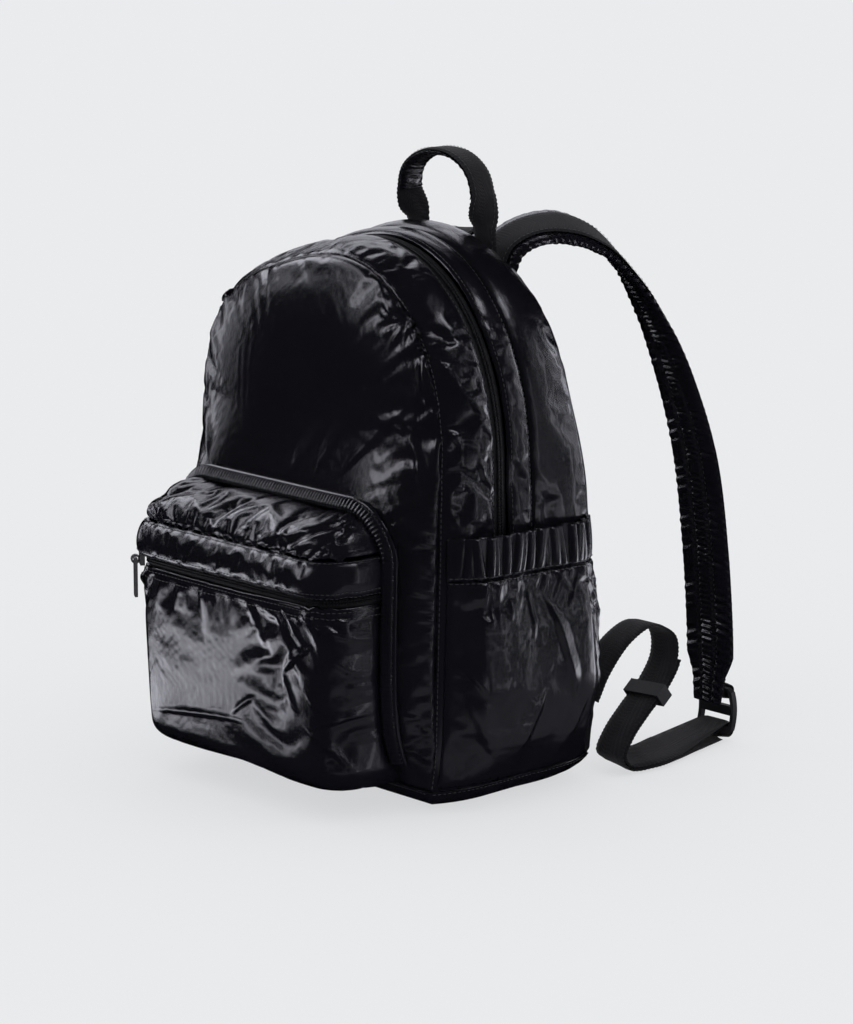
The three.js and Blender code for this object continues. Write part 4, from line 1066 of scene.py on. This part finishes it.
# Pieces of the body.
ROUGH_RIM = Sizes(least=0.15, across=(0.55, 0.95), z=(205, 262))
BACK = Sizes(
    grid=(73, 81), gather=0.5, pitch=9.0, reach=10.0,
    wave=0.6, size=60, inside=30, seam=3,
)
BASE = Sizes(side=15, across=41, rings=19, sewn_ring=2)


def panel_folds(p):
    return ridges(p[..., 0], p[..., 2], PANEL_FOLDS)


def gusset_folds(p):
    return ridges(lengths(p)[1], p[..., 2], GUSSET_FOLDS)


# Finish of the gussets: seed, small creases, single folds and the sewn rows.
GUSSET_FINISH = {
    "gusset_front": (111, (FINE_DENSE,), gusset_folds, (1, -2)),
    "zip_band": (121, (), None, (2, -3)),
    "gusset_rear": (131, (FINE,), None, ()),
}


def rough_rim(p):
    """Share of small creases on the front panel, most at its sides and top."""
    c = ROUGH_RIM
    inside = np.clip(np.abs(p[..., 0]) / half_at(LINES["front_seam"], p[..., 2]), 0, 1)
    rim = np.maximum(smooth(inside, *c.across), smooth(p[..., 2], *c.z))
    return lerp(c.least, 1, rim) * crown_puckering(p)


def build_front_panel():
    p = finished("front_panel", 1, (FINE_DENSE,), 101, mask=rough_rim, folds=panel_folds)
    add_piece("front_panel_cloth", [wall_mesh(p, WALL, 1)], NYLON_SMOOTH, "front_panel")


def build_gussets():
    for name, (seed, families, folds, rows) in GUSSET_FINISH.items():
        p = finished(name, -1, families, seed, folds=folds, all_round=False)
        add_piece(name + "_cloth", [wall_mesh(p, WALL, -1)], NYLON_ALONG, name,
                  threads=sewn_rows(p, -1, rows))


def build_back_panel():
    c = BACK
    p = panel(LINES["back_seam"], BACK_SWELL, 1, *share_grid(*c.grid))
    du, dv = edge_distance(p)
    u, v = lengths(p)
    away = np.minimum(du, dv)
    ripple = gathers(np.where(dv < du, u, v), away, c.pitch, c.reach, c.gather, seed=81)
    ripple = ripple + waves(u, v, c.size, c.wave, seed=82) * smooth(away, 0, c.inside)
    p = raised(p, -1, ripple * fade_in(away, c.seam) + seam_dip(away))
    add_piece("back_panel_cloth", [wall_mesh(p, WALL, -1)], NYLON_SMOOTH, "back_panel")


def base_loop(inset, z):
    """Closed line round the base at a height, drawn in from the bag's foot."""
    q = np.linspace(0, 1, BASE.side)
    front, rear = (gusset_strip(lines, np.zeros_like(q), q) for lines in (GUSSET_FRONT, GUSSET_REAR))
    side = np.concatenate([front, rear])
    across = np.linspace(1, -1, BASE.across)[1:-1, None]
    back = np.concatenate([rear[-1:, :1] * across, np.repeat(rear[-1:, 1:], len(across), 0)], axis=1)
    nose = np.concatenate([-front[:1, :1] * across, np.repeat(front[:1, 1:], len(across), 0)], axis=1)
    loop = np.concatenate([side, back, side[::-1] * (-1, 1, 1), nose])
    seam = LINES["front_seam"]
    loop = loop * (1 - inset / seam[HALF], 1 + inset / seam[Y_LOW], 1)
    loop[:, 2] = z
    return loop


def build_base():
    shares = np.linspace(0, 1, BASE.rings)
    rows = np.linspace(0, 1, len(BASE_ROWS))
    zs, insets = (np.interp(shares, rows, column) for column in zip(*BASE_ROWS))
    rings = np.array([base_loop(inset, z) for z, inset in zip(zs, insets)])
    sewn = rings[BASE.sewn_ring]
    seam = np.concatenate([sewn, sewn[:1]])
    out = seam * (1, 1, 0)
    add_piece("base_tray", [tube_mesh(rings[::-1])], NYLON_SMOOTH, "base",
              threads=[stitches(seam, out)])


# Zips: a recessed tape and two coils between shares across or heights.
ZIP_WALL = 0.8
ZIP_ROWS = 9
COIL = Sizes(pitch=1.5, steps=4, sides=6, dip=0.38, width=0.9, height=0.9)
MAIN_ZIP = Sizes(columns=320, tape_in=2.0, coil_in=1.5, coils=((0.3, 0.49), (0.51, 0.7)))
MAIN_TAPE = (0.04, 0.96)
FRONT_ZIP = Sizes(columns=241, tape_in=2.0, coil_in=1.6, coils=((109.0, 110.2), (110.4, 111.6)))


def coil(path_in, path_out, up):
    """Zip coil between two edge paths: a flat ridge of close turns."""
    run = run_along(path_in)
    places = np.arange(0, run[-1], COIL.pitch / COIL.steps)
    a, b, n = (at_places(places, run, values) for values in (path_in, path_out, up))
    swell = 1 - COIL.dip + COIL.dip * np.sin(2 * np.pi * places / COIL.pitch)[:, None]
    middle = (a + b) / 2
    side = (b - a) / 2 * lerp(COIL.width, 1, swell)
    rise = n * (COIL.height * swell)
    angles = np.linspace(0, 2 * np.pi, COIL.sides, endpoint=False)
    return tube_mesh(np.stack([middle + side * np.cos(t) + rise * np.sin(t) for t in angles], axis=1))


def add_zip(name, stands_for, sizes, point, along, rows, flip):
    """A zip on the surface that point(inset, along, across) gives."""
    tape = point(sizes.tape_in, *axes_grid(along, rows))
    up = normals(tape, flip)[:, len(rows) // 2]
    coils = []
    for edges in sizes.coils:
        inner, outer = (point(sizes.coil_in, along, np.full(len(along), edge)) for edge in edges)
        coils.append(coil(inner, outer, up))
    add_piece(name, [wall_mesh(tape, ZIP_WALL, flip), *coils], ZIP, stands_for)


def main_zip_point(inset, s, q):
    front, rear = LINES["zip_front"], LINES["zip_rear"]
    return strip(front, (front + rear) / 2, rear, s, q, inset)


def build_main_zip():
    add_zip("main_zip_chain", "main_zipper", MAIN_ZIP, main_zip_point,
            even_shares(MAIN_ZIP.columns), np.linspace(*MAIN_TAPE, ZIP_ROWS), -1)


def build_pocket_zip():
    across = np.sin(np.linspace(-np.pi / 2, np.pi / 2, FRONT_ZIP.columns))
    add_zip("pocket_zip_chain", "pocket_zipper", FRONT_ZIP, pocket_point,
            across, np.linspace(*POCKET_ZIP, ZIP_ROWS), 1)


# Front pocket with its ruched binding: a leaning, nearly square tube and a thin piping outside it.
ROUGH_RIGHT = Sizes(least=0.12, x=(-20, 30), z=(72, 90))
BINDING = Sizes(
    step=0.4, straight=60, corner=40, lean=math.radians(36), square=0.5, sewn=(3.6, 3.4),
)
BINDING_RUCHE = Sizes(pitch=2.1, power=1.2, drift=0.3, knots=90, seed=171)
BINDING_TUBES = (
    Sizes(out=1.4, ahead=3.4, broad=3.6, high=3.5, deep=0.21, sides=18),
    Sizes(out=4.8, ahead=1.6, broad=1.0, high=1.9, deep=0.0, sides=10),
)
FORWARD = np.array([0, -1.0, 0])


def pocket_folds(p):
    return ridges(centred_lengths(p)[0], p[..., 2], POCKET_FOLDS)


def rough_right(p):
    """Share of small creases on the lower pocket, most on the right and under the zip."""
    c = ROUGH_RIGHT
    return lerp(c.least, 1, np.maximum(smooth(p[..., 0], *c.x), smooth(p[..., 2], *c.z)))


def build_pocket():
    lower = finished("pocket_lower", 1, (FINE_DENSE,), 141, mask=rough_right, folds=pocket_folds)
    add_piece("pocket_lower_cloth", [wall_mesh(lower, POCKET_WALL, 1)], NYLON, "pocket_lower",
              threads=sewn_rows(lower, 1, (-3, -6)))
    flap = finished("pocket_band", 1, all_round=False)
    add_piece("pocket_flap_cloth", [wall_mesh(flap, POCKET_WALL, 1)], NYLON_SMOOTH, "pocket_band",
              threads=sewn_rows(flap, 1, (2, 5, -3), pitch=2.5, long=1.8))
    upper = finished("pocket_upper", 1, (FINE,), 161)
    add_piece("pocket_upper_cloth", [wall_mesh(upper, POCKET_WALL, 1)], NYLON, "pocket_upper")


def binding_path():
    """Across and up round the pocket's edge, from its right foot over its top to its left foot."""
    half, top, corner = POCKET.half, POCKET.top, POCKET.corner_top
    foot = POCKET.bottom + POCKET.corner_low
    turn = np.linspace(0, np.pi / 2, BINDING.corner)[1:-1]
    bend = np.stack([half - corner + corner * np.cos(turn), top - corner + corner * np.sin(turn)], axis=1)
    upright = [(half, z) for z in np.linspace(foot, top - corner, BINDING.straight)]
    level = [(x, top) for x in np.linspace(half - corner, corner - half, BINDING.straight)]
    right = np.concatenate([upright, bend])
    return np.concatenate([right, level, right[::-1] * (-1, 1)])


def squared(value):
    """A circle's coordinate moved towards a rounded square."""
    return math.copysign(abs(value) ** BINDING.square, value)


def build_binding():
    path = binding_path()
    run = run_along(path)
    places = np.arange(0, run[-1], BINDING.step)
    x, z = at_places(places, run, path).T
    along = unit(np.gradient(np.stack([x, z], axis=1), axis=0))
    out = np.stack([along[:, 1], np.zeros(len(x)), -along[:, 0]], axis=1)
    base = np.stack([x, front_face(x, z), z], axis=1)
    side = out * math.cos(BINDING.lean) - FORWARD * math.sin(BINDING.lean)
    front = FORWARD * math.cos(BINDING.lean) + out * math.sin(BINDING.lean)
    r = BINDING_RUCHE
    drift = wandering(np.random.default_rng(r.seed), places, run[-1], r.knots, r.drift)
    ruche = (1 - np.abs(np.sin(np.pi * places / r.pitch + drift))) ** r.power
    parts = []
    for tube in BINDING_TUBES:
        size = 1 - tube.deep * ruche[:, None]
        centre = base + out * tube.out + FORWARD * tube.ahead
        broad, high = side * tube.broad * size, front * tube.high * size
        angles = np.linspace(0, 2 * np.pi, tube.sides, endpoint=False)
        rings = [centre + broad * squared(math.cos(t)) + high * squared(math.sin(t)) for t in angles]
        parts.append(tube_mesh(np.stack(rings, axis=1)))
    sewn_out, sewn_ahead = BINDING.sewn
    sewn = base + out * sewn_out + FORWARD * sewn_ahead
    add_piece("pocket_binding_ruche", parts, NYLON, "pocket_binding",
              threads=[stitches(sewn, np.broadcast_to(FORWARD, sewn.shape))])


# Side pockets with gathered mouths.
MOUTH = Sizes(
    columns=321, rows=15, pitch=5.2, seed=191, round=0.4, pleat=3.2, middle=0.7,
    seam_share=0.35, puff=1.2, drop=0.9, seam=2.5,
)


def side_folds(p):
    return ridges(p[..., 1], p[..., 2], SIDE_FOLDS)


def mouth_grid():
    """The gathered band on top of the right side pocket."""
    c = MOUTH
    rows = np.linspace(SIDE.seam, SIDE.mouth, c.rows)
    p = side_point(*axes_grid(np.linspace(0, 1, c.columns), rows))
    u, v = lengths(p)
    swell = np.sin(np.pi * np.clip(v / v.max(), 0, 1)) ** c.round
    pleat = c.pleat * (pleats(u, v, c.pitch, c.seed) - c.middle) * lerp(c.seam_share, 1, swell)
    height = pleat + c.puff * swell - c.drop
    return raised(p, 1, height * fade_in(np.minimum(u, u[-1:] - u), c.seam))


def build_side_pockets():
    pouch = finished("side_pocket", 1, (FINE_DENSE,), 181, folds=side_folds)
    mouth = mouth_grid()
    for side, (sign, *_) in SIDES.items():
        for cloth, stands_for, grid, sewn_row, fill in (
            ("side_pocket_cloth_", "side_pocket_", pouch, -2, 0.2),
            ("side_mouth_cloth_", "side_band_", mouth, 1, 0.3),
        ):
            p = grid * (sign, 1, 1)
            add_piece(cloth + side, [wall_mesh(p, SIDE_WALL, sign)], NYLON_SMOOTH, stands_for + side,
                      threads=sewn_rows(p, sign, (sewn_row,)))


# Bands along a path.
BENT_STEPS = 26
TAPE = Sizes(across=7, tooth=0.18, tooth_pitch=2.1, power=6, edge=0.12)


def centripetal(points, count):
    """Points of a smooth curve through given points at even parameter steps, and those parameters."""
    p = np.concatenate([[2 * points[0] - points[1]], points, [2 * points[-1] - points[-2]]])
    t = np.linspace(0, len(points) - 1, count)
    i = np.minimum(t.astype(int), len(points) - 2)
    f = (t - i)[:, None]
    q = [p[i + k] for k in range(4)]
    d = [np.linalg.norm(q[k + 1] - q[k], axis=1, keepdims=True) ** 0.5 for k in range(3)]
    leave = ((q[1] - q[0]) / d[0] - (q[2] - q[0]) / (d[0] + d[1]) + (q[2] - q[1]) / d[1]) * d[1]
    arrive = ((q[2] - q[1]) / d[1] - (q[3] - q[1]) / (d[1] + d[2]) + (q[3] - q[2]) / d[2]) * d[1]
    ahead = 3 * f ** 2 - 2 * f ** 3
    return lerp(q[1], q[2], ahead) + (f ** 3 - 2 * f ** 2 + f) * leave + (f ** 3 - f ** 2) * arrive, t


@dataclass
class Band:
    """Frames along a band: places, width and face directions and the parameter along its table of points."""

    at: np.ndarray
    wide: np.ndarray
    face: np.ndarray
    near: np.ndarray

    def place(self, across, off):
        return self.at + self.wide * np.reshape(across, (-1, 1)) + self.face * np.reshape(off, (-1, 1))

    def part(self, start, stop):
        columns = (self.at, self.wide, self.face, self.near)
        return Band(*(column[start:stop] for column in columns))

    def column(self, rows, k):
        """A column of the table of points, all along the band."""
        return np.interp(self.near, np.arange(len(rows)), [row[k] for row in rows])


def band_along(rows, count, width_at):
    """Band through rows that begin with a place. width_at gives the width direction at parameters."""
    at, near = centripetal(np.array([row[:3] for row in rows], float), count)
    along = unit(np.gradient(at, axis=0))
    wide = width_at(near)
    wide = unit(wide - along * np.sum(wide * along, axis=1, keepdims=True))
    return Band(at, wide, np.cross(along, wide), near)


def tape_rings(band, width, low, high):
    """Rings of a woven tape between two face heights, with a toothed selvedge."""
    edge = width / 2 + TAPE.tooth * np.sin(2 * np.pi * run_along(band.at) / TAPE.tooth_pitch)
    across = np.linspace(-1, 1, TAPE.across)
    middle, thick = (low + high) / 2, (high - low) / 2
    def outline(x):
        return thick * (1 - abs(x) ** TAPE.power) + TAPE.edge * thick
    top = [band.place(edge * x, middle + outline(x)) for x in across]
    under = [band.place(edge * x, middle - outline(x)) for x in across[::-1]]
    return np.stack(top + under, axis=1)


def bent(bar, turns, radius, thick):
    """Rings of webbing bent round a bar that runs along X, between two turns in half circles."""
    across = np.linspace(-1, 1, TAPE.across)
    rings = []
    for angle in np.linspace(*(turn * np.pi for turn in turns), BENT_STEPS):
        out = np.array([0, math.cos(angle), math.sin(angle)])
        ring = []
        for x, face in [(x, 1) for x in across] + [(x, -1) for x in across[::-1]]:
            off = radius + face * thick / 2 * (1 - abs(x) ** TAPE.power)
            ring.append(bar + (WEBBING_WIDTH / 2 * x, 0, 0) + out * off)
        rings.append(ring)
    return np.array(rings)


def rolled(rows, column):
    roll = np.radians([row[column] for row in rows])
    def width_at(near):
        r = np.interp(near, np.arange(len(rows)), roll)
        return np.stack([np.cos(r), 0 * r, -np.sin(r)], axis=1)
    return width_at


# Carry handle: tape outside and a ruched grip inside.
HANDLE = Sizes(steps=420, thick=1.5, sewn=5.6, sewn_off=1.6)
GRIP = Sizes(
    start=112, across=15, half=7.7, under=0.3, back=0.25, puff=2.3, power=3, pitch=4.2,
    slant=1.5, ruche=0.35, middle=0.4, knots=30, drift=0.9, seed=201,
)


def build_handle():
    rows = [(-x, y, z, t) for x, y, z, t in HANDLE_PATH[:-1]] + list(HANDLE_PATH[::-1])
    turns = np.array([row[3] for row in rows]) * np.pi / 2
    def width_at(near):
        turn = np.interp(near, np.arange(len(rows)), turns)
        return np.stack([np.cos(turn), np.sin(turn), 0 * turn], axis=1)
    band = band_along(rows, HANDLE.steps, width_at)
    sewn = [stitches(band.place(x, HANDLE.sewn_off), band.face) for x in (-HANDLE.sewn, HANDLE.sewn)]
    rings = tape_rings(band, HANDLE_WIDTH, 0.0, HANDLE.thick)
    add_piece("handle_tape", [tube_mesh(rings)], WEBBING, "handle_webbing", threads=sewn)
    build_grip(band.part(GRIP.start, HANDLE.steps - GRIP.start))


def build_grip(band):
    g = GRIP
    run = run_along(band.at)
    drift = wandering(np.random.default_rng(g.seed), run, run[-1], g.knots, g.drift)
    across = np.linspace(-1, 1, g.across)
    rings = []
    for x in across:
        ruche = g.ruche * np.sin(2 * np.pi * run / g.pitch + drift + g.slant * x)
        puff = g.puff * (1 - abs(x) ** g.power)
        rings.append(band.place(g.half * x, -g.under - puff - ruche * lerp(g.middle, 1, abs(x))))
    rings += [band.place(g.half * x, -g.back) for x in across[::-1]]
    grip = tube_mesh(np.stack(rings, axis=1))
    add_piece("handle_grip_ruche", [grip], NYLON, "handle_grip")


# Shoulder straps and adjusting webbing. A lane of the pad's ruche: pitch, slant and height.
PAD = Sizes(
    steps=560, across=41, lane=0.32, channel=0.75, channel_width=0.06, power=4,
    edge=0.012, front=0.75, back=0.3, back_phase=2, calm=0.6, calm_power=8, sewn=0.16,
    seed=211, knots=60, drift=0.8, swing_knots=80, swing=(0.0, 1.2),
)
PAD_LANES = ((4.9, 5.0, 0.65), (2.9, -4.0, 1.25), (4.4, -5.0, 0.65))
STRAP_TAPE = Sizes(
    off=0.3, thick=1.0, sewn=8.0, sewn_off=0.1, turns=(1.0, 2.35), radius=3.6, clear=4.0,
)
ADJUSTING = Sizes(
    steps=620, thick=1.3, turns=(-0.5, 0.6), radius=3.9, tail=(0.36, 0.86), tail_off=-2.4,
)
BUCKLE_BARS = Sizes(ahead=0.6, upper=2.0, lower=2.1)


def pulled(rows, reach, rise):
    """A route with shares of its reach behind the bag and of its rise above the shoulder."""
    out = []
    for x, y, z, *rest in rows:
        behind, above = max(0, y - REACH_FROM), max(0, z - RISE_FROM)
        out.append((x, y - (1 - reach) * behind, z - (1 - rise) * above, *rest))
    return out


def handed(part, sign):
    """A part of the right side, or its mirror image for the left one."""
    points, quads, uv = part
    return points * (sign, 1, 1), quads if sign > 0 else quads[:, ::-1], uv


def strap_pad(band, rows):
    """Padded band with two sewn channels on its inner face and ruched cloth all along."""
    c = PAD
    width, thick = band.column(rows, WIDTH_COLUMN), band.column(rows, THICK_COLUMN)
    run = run_along(band.at)
    rng = np.random.default_rng(c.seed)
    drifts = [wandering(rng, run, run[-1], c.knots, c.drift) for _ in PAD_LANES]
    knots = np.linspace(0, run[-1], c.swing_knots)
    swings = [np.interp(run, knots, rng.uniform(*c.swing, c.swing_knots)) for _ in PAD_LANES]
    def ruche(x, phase):
        lane = int(x > -c.lane) + int(x > c.lane)
        pitch, slant, high = PAD_LANES[lane]
        return high * np.sin(2 * np.pi * run / pitch + drifts[lane] + slant * x + phase) * swings[lane]
    def channel(x):
        return 1 - c.channel * math.exp(-((abs(x) - c.lane) / c.channel_width) ** 2)
    def crown(x):
        return max(0.0, 1 - abs(x) ** c.power) ** 0.5
    def calm(x):
        return 1 - c.calm * abs(x) ** c.calm_power
    def edge(x):
        return width / 2 * x * (1 + c.edge * ruche(x, 0))
    across = np.linspace(-1, 1, c.across)
    rings = []
    for x in across:
        swell = thick / 2 * crown(x) + c.front * ruche(x, 0) * calm(x)
        rings.append(band.place(edge(x), swell * channel(x)))
    for x in across[::-1][::2]:
        swell = thick / 2 * crown(x) - c.back * ruche(x, c.back_phase) * calm(x)
        rings.append(band.place(edge(x), -swell))
    sewn = [stitches(band.place(k * c.lane * width / 2, thick * c.sewn), band.face) for k in (-1, 1)]
    return tube_mesh(np.stack(rings, axis=1)), sewn


def buckle_bars(side):
    """Places of the upper and the lower bar of a buckle, on the right side of the bag."""
    low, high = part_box("buckle_" + side)
    x = float(STRAP_PATH[-1][0])
    y = (low[1] + high[1]) / 2 / MM - BUCKLE_BARS.ahead
    upper, lower = high[2] / MM - BUCKLE_BARS.upper, low[2] / MM + BUCKLE_BARS.lower
    return np.array([x, y, upper]), np.array([x, y, lower])


def build_strap(side, sign, reach, rise, turn):
    """Padded strap with its tape, which turns round the buckle's upper bar."""
    rows = [(*row[:ROLL_COLUMN], row[ROLL_COLUMN] * turn) for row in pulled(STRAP_PATH, reach, rise)]
    band = band_along(rows, PAD.steps, rolled(rows, ROLL_COLUMN))
    pad, sewn = strap_pad(band, rows)
    add_piece("strap_pad_cloth_" + side, [handed(pad, sign)], NYLON, "strap_pad_" + side,
              threads=[handed(row, sign) for row in sewn])
    c = STRAP_TAPE
    bar, _ = buckle_bars(side)
    keep = int(np.sum(band.at[:, 2] > bar[2] + c.clear))
    tape = band.part(0, keep)
    face = -(band.column(rows, THICK_COLUMN)[:keep] / 2 + c.off)
    under = face - c.thick
    fold = bent(bar, c.turns, c.radius, c.thick)
    rings = np.concatenate([tape_rings(tape, WEBBING_WIDTH, face, under), fold])
    sewn = [stitches(tape.place(x, under - c.sewn_off), -tape.face) for x in (-c.sewn, c.sewn)]
    add_piece("strap_tape_" + side, [handed(tube_mesh(rings), sign)], WEBBING,
              "strap_webbing_" + side, threads=[handed(row, sign) for row in sewn])


def build_adjusting(side, sign, reach, rise):
    """Webbing from the bag's foot round the buckle's lower bar, with its tail on top of it."""
    c = ADJUSTING
    rows = pulled(WEBBING_PATH, reach, rise)
    band = band_along(rows, c.steps, rolled(rows, WEBBING_ROLL))
    half = c.thick / 2
    main = tape_rings(band, WEBBING_WIDTH, -half, half)
    _, bar = buckle_bars(side)
    wrap = bent(bar, c.turns, c.radius, c.thick)
    start, stop = (int(c.steps * share) for share in c.tail)
    tail = tape_rings(band.part(start, stop), WEBBING_WIDTH, c.tail_off - half, c.tail_off + half)
    returned = [np.roll(rings, TAPE.across, axis=1) for rings in (wrap, tail[::-1])]
    tape = handed(tube_mesh(np.concatenate([main, *returned])), sign)
    add_piece("adjusting_tape_" + side, [tape], WEBBING, "webbing_" + side)


# Hard pieces, with the widths of their softened edges.
BEVELS = {"buckle": 0.8, "keeper": 0.4, "zip": 0.3}
BEVEL_SEGMENTS = 3
BEVEL_ANGLE = math.radians(35)


def keep_cad(node_name, material, bevel):
    """A hard CAD piece shown as it is, with softened edges."""
    obj = frame["nodes"][node_name]
    obj.data.materials.clear()
    obj.data.materials.append(material)
    cut = obj.modifiers.new("edges", "BEVEL")
    cut.width = bevel * MM
    cut.segments = BEVEL_SEGMENTS
    cut.limit_method = "ANGLE"
    cut.angle_limit = BEVEL_ANGLE


def build_hardware():
    for side in SIDES:
        for kind in ("buckle", "keeper"):
            keep_cad(kind + "_" + side, PLASTIC, BEVELS[kind])
    for name in ("pocket_zip_slider", "pocket_zip_pull", "main_zip_slider"):
        keep_cad(name, METAL, BEVELS["zip"])


build_front_panel()
build_gussets()
build_back_panel()
build_base()
build_main_zip()
build_pocket()
build_pocket_zip()
build_binding()
build_side_pockets()
build_handle()
for side, (sign, reach, rise, turn) in SIDES.items():
    build_strap(side, sign, reach, rise, turn)
    build_adjusting(side, sign, reach, rise)
build_hardware()

# Stage in metres: a pale glowing floor, an even white world for diffuse light, and lamps and floor cards that
# show only as reflections on the nylon. A softbox: azimuth and elevation in degrees, distance, size, power.
FLOOR = Sizes(half=12.0, points=9, drop=0.05, tone=(0.206, 0.208, 0.212), uneven=1.004)
FLOOR_GLOW = (0.617, 0.623, 0.635, 1)
LIGHT_COLOUR = (0.9, 0.9, 1.0)
LIGHT_AIM = Vector((0, 0, 0.14))
SOFTBOXES = {
    "left_softbox": (-83, 4, 1.6, (0.26, 0.56), 0.75),
    "upper_softbox": (-25, 30, 1.7, (0.46, 0.54), 2.5),
    "crown_softbox": (-118, 46, 1.8, (1.3, 0.7), 4.4),
    "rear_softbox": (-132, 17, 1.8, (1.0, 0.85), 1.8),
    "flap_softbox": (-74, 33, 1.6, (0.92, 0.42), 3.9),
    "right_window": (119, 53, 1.5, (0.3, 0.3), 1.4),
    "right_strip": (150, 6, 1.5, (0.1, 1.2), 0.9),
    "gusset_strip": (118, 3, 1.5, (0.08, 1.0), 0.45),
    "back_strip": (178, 5, 2.0, (0.24, 0.8), 1.7),
}
# A card that lies on the floor and faces up: place, turn in degrees, size and power.
FLOOR_CARDS = {
    "back_card": ((0.17, 0.48), 0, (0.55, 0.16), 0.62),
    "pocket_card": ((-0.182, -0.203), 37, (0.2, 0.13), 0.18),
    "side_card": ((0.2, 0.03), 0, (0.34, 0.14), 0.018),
    "mouth_card": ((0.69, 0.17), 0, (0.36, 0.25), 0.16),
}
CARD_LIFT = 0.002


def build_floor():
    xs = np.linspace(-FLOOR.half, FLOOR.half, FLOOR.points) / MM
    x, y = axes_grid(xs, xs)
    points = np.stack([x, y, 0 * x - FLOOR.drop], axis=-1)
    floor = add_object("floor", points, grid_quads(len(xs), len(xs)))
    material, tree, shader = new_material(
        "floor_paint", Roughness=0.9, Specular_IOR_Level=0.0,
        Emission_Color=FLOOR_GLOW, Emission_Strength=1.0)
    tone = noise(tree, object_place(tree), scale=0.6, detail=2.0)
    pale = tuple(c * FLOOR.uneven for c in FLOOR.tone)
    wire(tree, shader, Base_Color=spread_colour(tree, tone, FLOOR.tone, pale))
    floor.data.materials.append(material)
    floor.visible_glossy = False


def add_lamp(name, size, power, place, turn):
    """Rectangular lamp that shows only in reflections."""
    data = bpy.data.lights.new(name, "AREA")
    data.shape = "RECTANGLE"
    data.size, data.size_y = size
    data.energy = power
    data.color = LIGHT_COLOUR
    obj = bpy.data.objects.new(name, data)
    obj.location = place
    obj.rotation_euler = turn
    obj.visible_camera = False
    obj.visible_diffuse = False
    bpy.context.scene.collection.objects.link(obj)


def facing(place, aim):
    return (aim - place).to_track_quat("-Z", "Y").to_euler()


def build_lamps():
    for name, (azimuth, elevation, distance, size, power) in SOFTBOXES.items():
        a, e = math.radians(azimuth), math.radians(elevation)
        away = Vector((math.sin(a) * math.cos(e), -math.cos(a) * math.cos(e), math.sin(e)))
        place = LIGHT_AIM + away * distance
        add_lamp(name, size, power, place, facing(place, LIGHT_AIM))
    for name, (place, turn, size, power) in FLOOR_CARDS.items():
        add_lamp(name, size, power, (*place, CARD_LIFT), (math.pi, 0, math.radians(turn) + math.pi / 2))


def build_world():
    world = bpy.data.worlds.new("studio")
    bpy.context.scene.world = world
    world.use_nodes = True
    background = world.node_tree.nodes["Background"]
    background.inputs["Color"].default_value = (1, 1, 1, 1)
    background.inputs["Strength"].default_value = 1.0
    world.cycles_visibility.glossy = False
    bpy.context.scene.view_settings.view_transform = "Standard"


CAMERA_EYE = Vector((1.50525, -1.28788, 0.53333))
CAMERA_AIM = Vector((0.01119, 0.01088, 0.13057))
CAMERA_LENS = 140.6
CAMERA_SENSOR = 36


def build_camera():
    data = bpy.data.cameras.new("camera")
    data.lens = CAMERA_LENS
    data.sensor_width = CAMERA_SENSOR
    camera = bpy.data.objects.new("camera", data)
    camera.location = CAMERA_EYE
    camera.rotation_euler = facing(CAMERA_EYE, CAMERA_AIM)
    bpy.context.scene.collection.objects.link(camera)
    bpy.context.scene.camera = camera


build_floor()
build_world()
build_lamps()
build_camera()
